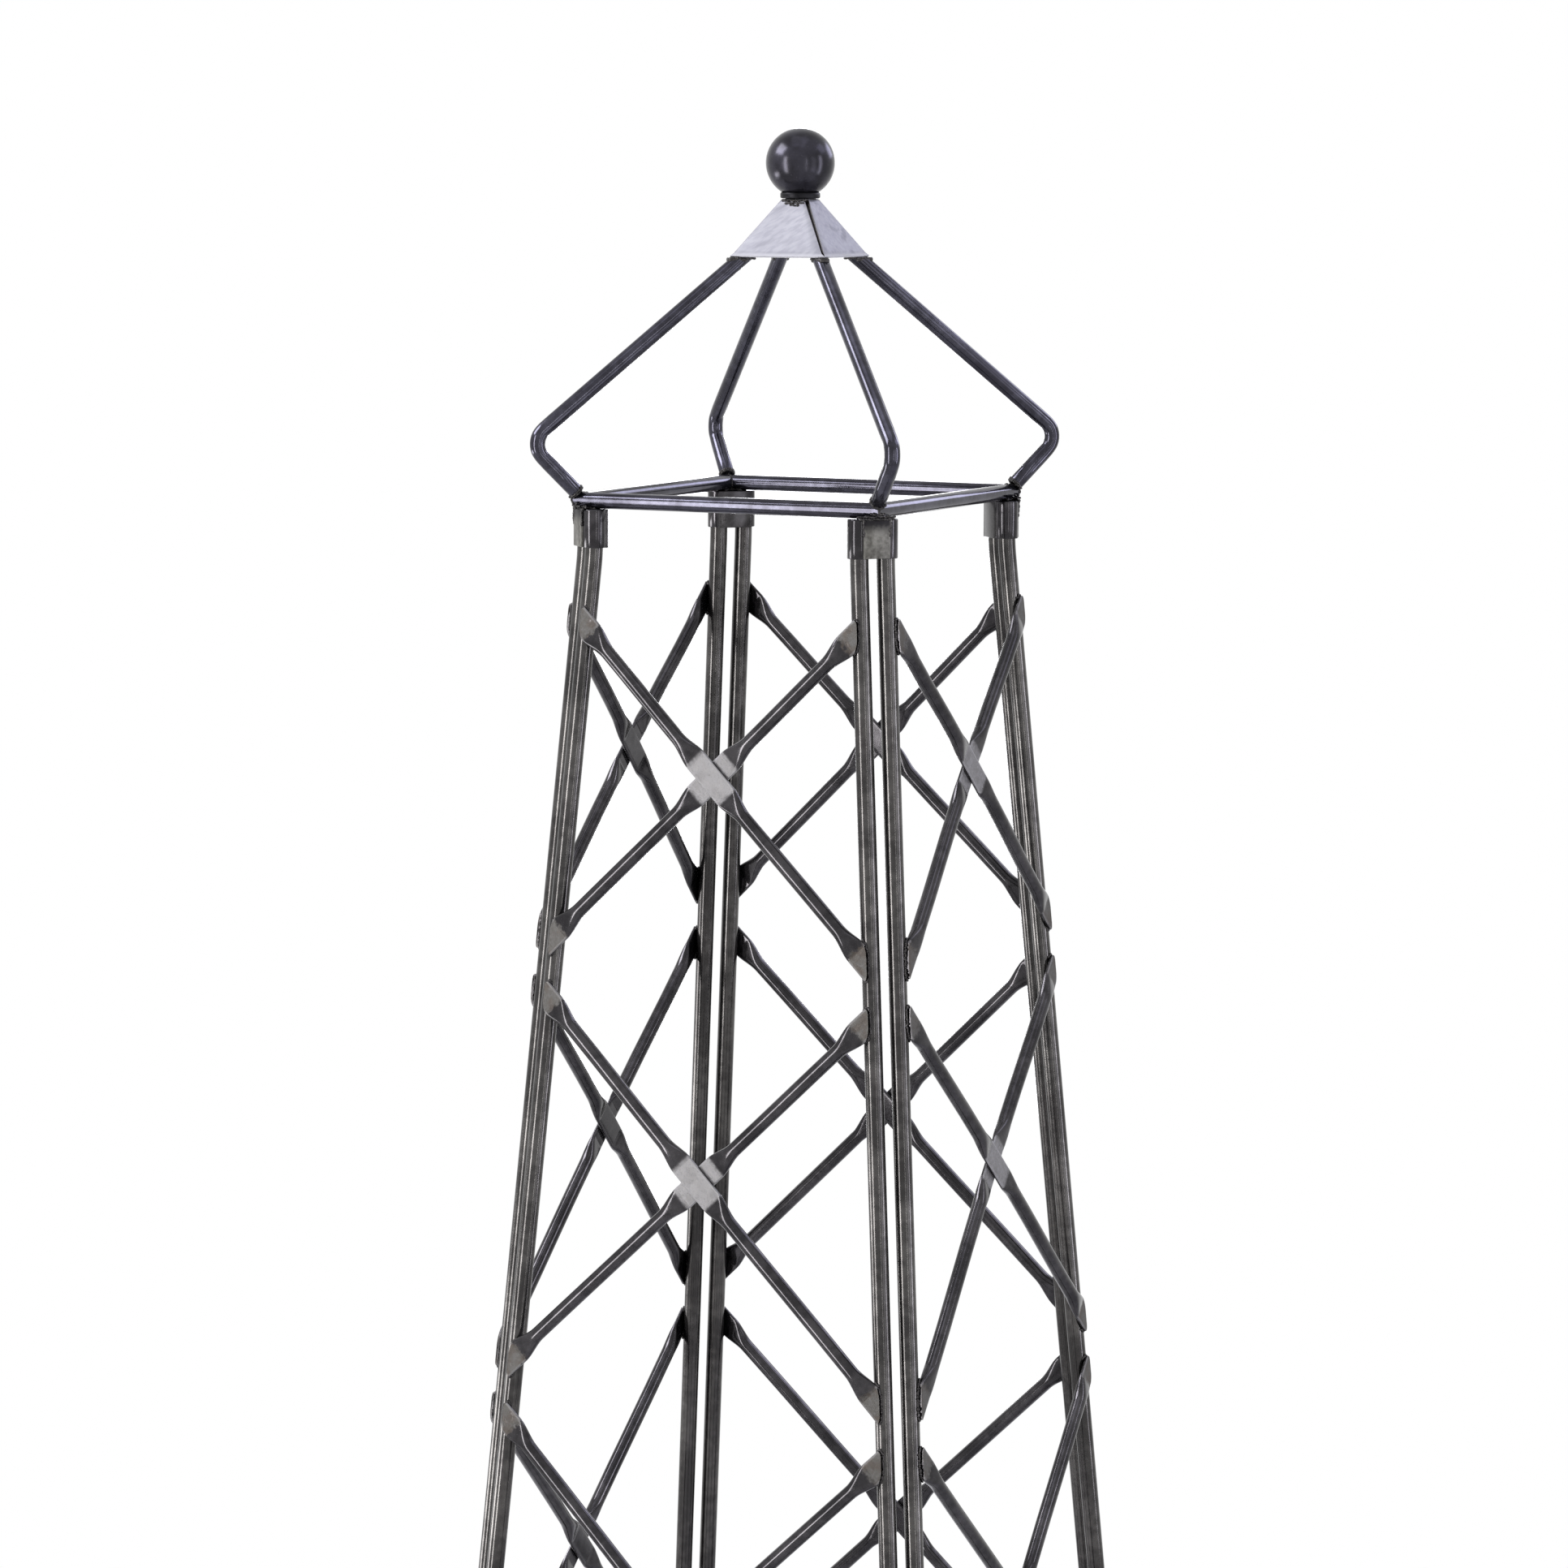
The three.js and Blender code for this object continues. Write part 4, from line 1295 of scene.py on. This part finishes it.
def collarWelds():  # under the collar, and a smear down one side of the cap
    rows = [{"spots": [(c * radius, s * radius, capHigh[2] - drop) for c, s in roundOnce(16)],
             "closed": True} for radius, drop in crownWeld["collarRings"]]
    for drop, left, right in crownWeld["smear"]:
        out = cap["topSide"] / 2 + drop * crownWeld["capSlope"]
        rows.append({"spots": [(mix(left, right, t), -out, capHigh[2] - drop)
                               for t in (0, 0.5, 1)]})
    return rows


def crownWelds():
    corner = toeWelds() + mitreWeld() + socketWelds() + capWeld()
    rows = [{**row, "spots": [turned(p, quarter) for p in row["spots"]]}
            for quarter in range(4) for row in corner]
    return rows + collarWelds()


beads = beadTree.run("crownWelds", guide(crownWelds()), Pitch=crownWeld["pitch"],
                     Bead=crownWeld["bead"], Uneven=crownWeld["uneven"], Seed=crownWeld["seed"],
                     Finish=weldFinish)
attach(beads, "crown")
print("crown welds made")

# studio: floor, world, soft boxes and camera
studio = {
    "floorSize": 40.0,
    "floorTone": (0.80, 0.80, 0.80),
    "floorMottle": (0.72, 0.72, 0.72),
    "floorGlow": 0.16,
    "whiteFrom": 1.0,  # past this far from the middle the floor fades to the backdrop's white
    "whiteTo": 2.4,
    "worldFill": 0.14,
    "aim": (0.0, 0.0, 1.15),
    "boxes": {  # azimuth, height and distance of the middle, width, height, brightness, tint
        "leftCloud": (-58, 3.15, 2.1, 1.4, 1.1, 15.0, (0.95, 0.95, 1.0)),
        "rightCloud": (118, 3.15, 2.1, 1.1, 0.9, 2.2, (0.80, 0.80, 1.0)),
        "farCloud": (156, 2.5, 2.5, 1.1, 0.9, 5.0, (0.76, 0.76, 1.0)),
        "overBox": (10, 3.7, 0.5, 1.5, 1.5, 1.2, (0.86, 0.86, 1.0)),
        "keyStrip": (-25, 1.35, 2.7, 0.44, 2.5, 14.5, (1.0, 0.99, 0.98)),
        "frontStrip": (47, 1.35, 3.0, 0.12, 2.4, 8.0, (1.0, 1.0, 1.0)),
        "sideStrip": (98, 1.35, 2.7, 0.46, 2.5, 8.0, (0.90, 0.90, 1.0)),
        "sideWall": (72, 1.35, 2.9, 0.8, 2.3, 1.6, (0.92, 0.92, 1.0)),
        "rearStrip": (205, 1.5, 2.8, 0.34, 2.2, 8.0, (0.95, 0.95, 1.0)),
        "lowBounce": (-72, 0.35, 2.75, 1.1, 0.5, 11.0, (1.0, 0.99, 0.98)),
    },
}


def stageFloor():
    size = studio["floorSize"] / 2
    mesh = bpy.data.meshes.new("floor")
    corners = [(-size, -size, 0), (size, -size, 0), (size, size, 0), (-size, size, 0)]
    mesh.from_pydata(corners, [], [(0, 1, 2, 3)])
    floor = putInScene("floor", mesh)
    finish = Finish("paleFloor")
    far = finish.node("ShaderNodeVectorMath", {"operation": "LENGTH"}, {0: finish.spot}, "Value")
    seen = finish.seenRay()
    fade = finish.between(far, studio["whiteFrom"], studio["whiteTo"]) * seen
    tone = finish.blend(finish.grain(60.0, 4.0) * 0.06, studio["floorTone"], studio["floorMottle"])
    matt = finish.node("ShaderNodeBsdfDiffuse", None, {"Color": tone})
    strength = seen * studio["floorGlow"]
    glow = finish.node("ShaderNodeEmission", None, {"Color": (1, 1, 1), "Strength": strength})
    lit = finish.node("ShaderNodeAddShader", None, {0: matt, 1: glow})
    white = finish.node("ShaderNodeEmission", None, {"Color": (1, 1, 1), "Strength": 1.0})
    surface = finish.node("ShaderNodeMixShader", None, {0: fade, 1: lit, 2: white})
    finish.node("ShaderNodeOutputMaterial", None, {"Surface": surface})
    mesh.materials.append(finish.material)


def softWorld():
    world = bpy.data.worlds.new("studioWorld")
    bpy.context.scene.world = world
    world.use_nodes = True
    graph = Graph(world.node_tree)
    strength = studio["worldFill"] + graph.seenRay() * (1 - studio["worldFill"])
    sky = graph.node("ShaderNodeBackground", None, {"Color": (1, 1, 1), "Strength": strength})
    graph.node("ShaderNodeOutputWorld", None, {"Surface": sky})


def softBoxes():
    aim = Vector(studio["aim"])
    for name, (azimuth, height, distance, wide, tall, bright, tint) in studio["boxes"].items():
        turn = math.radians(azimuth)
        data = bpy.data.lights.new(name, "AREA")
        data.shape, data.size, data.size_y = "RECTANGLE", wide, tall
        data.energy = bright * math.pi * wide * tall
        data.color = tint
        lamp = putInScene(name, data)
        lamp.location = (math.sin(turn) * distance, -math.cos(turn) * distance, height)
        lamp.rotation_euler = (aim - lamp.location).to_track_quat("-Z", "Y").to_euler()
        lamp.visible_camera = False


view = {"azimuth": 26.061, "pan": 0.166, "pitch": 7.228, "roll": 0.199, "distance": 3.6008,
        "eye": 1.7213, "lens": 111.6, "sensor": 36.0}


def makeCamera():
    stand, turn = math.radians(view["azimuth"]), math.radians(view["azimuth"] + view["pan"])
    tip, spin = math.radians(view["pitch"]), math.radians(view["roll"])
    ahead = Vector((-math.sin(turn) * math.cos(tip), math.cos(turn) * math.cos(tip),
                    -math.sin(tip)))
    right = Vector((math.cos(turn), math.sin(turn), 0))
    across = right * math.cos(spin) + right.cross(ahead) * math.sin(spin)
    place = Vector((math.sin(stand), -math.cos(stand), 0)) * view["distance"]
    place.z = view["eye"]
    data = bpy.data.cameras.new("studioCamera")
    data.lens, data.sensor_width = view["lens"], view["sensor"]
    camera = putInScene("studioCamera", data)
    facing = Matrix((across, across.cross(ahead), -ahead)).transposed().to_4x4()
    camera.matrix_world = Matrix.Translation(place) @ facing
    bpy.context.scene.camera = camera


stageFloor()
softWorld()
softBoxes()
makeCamera()
bpy.context.scene.view_settings.view_transform = "Standard"
print("studio set")
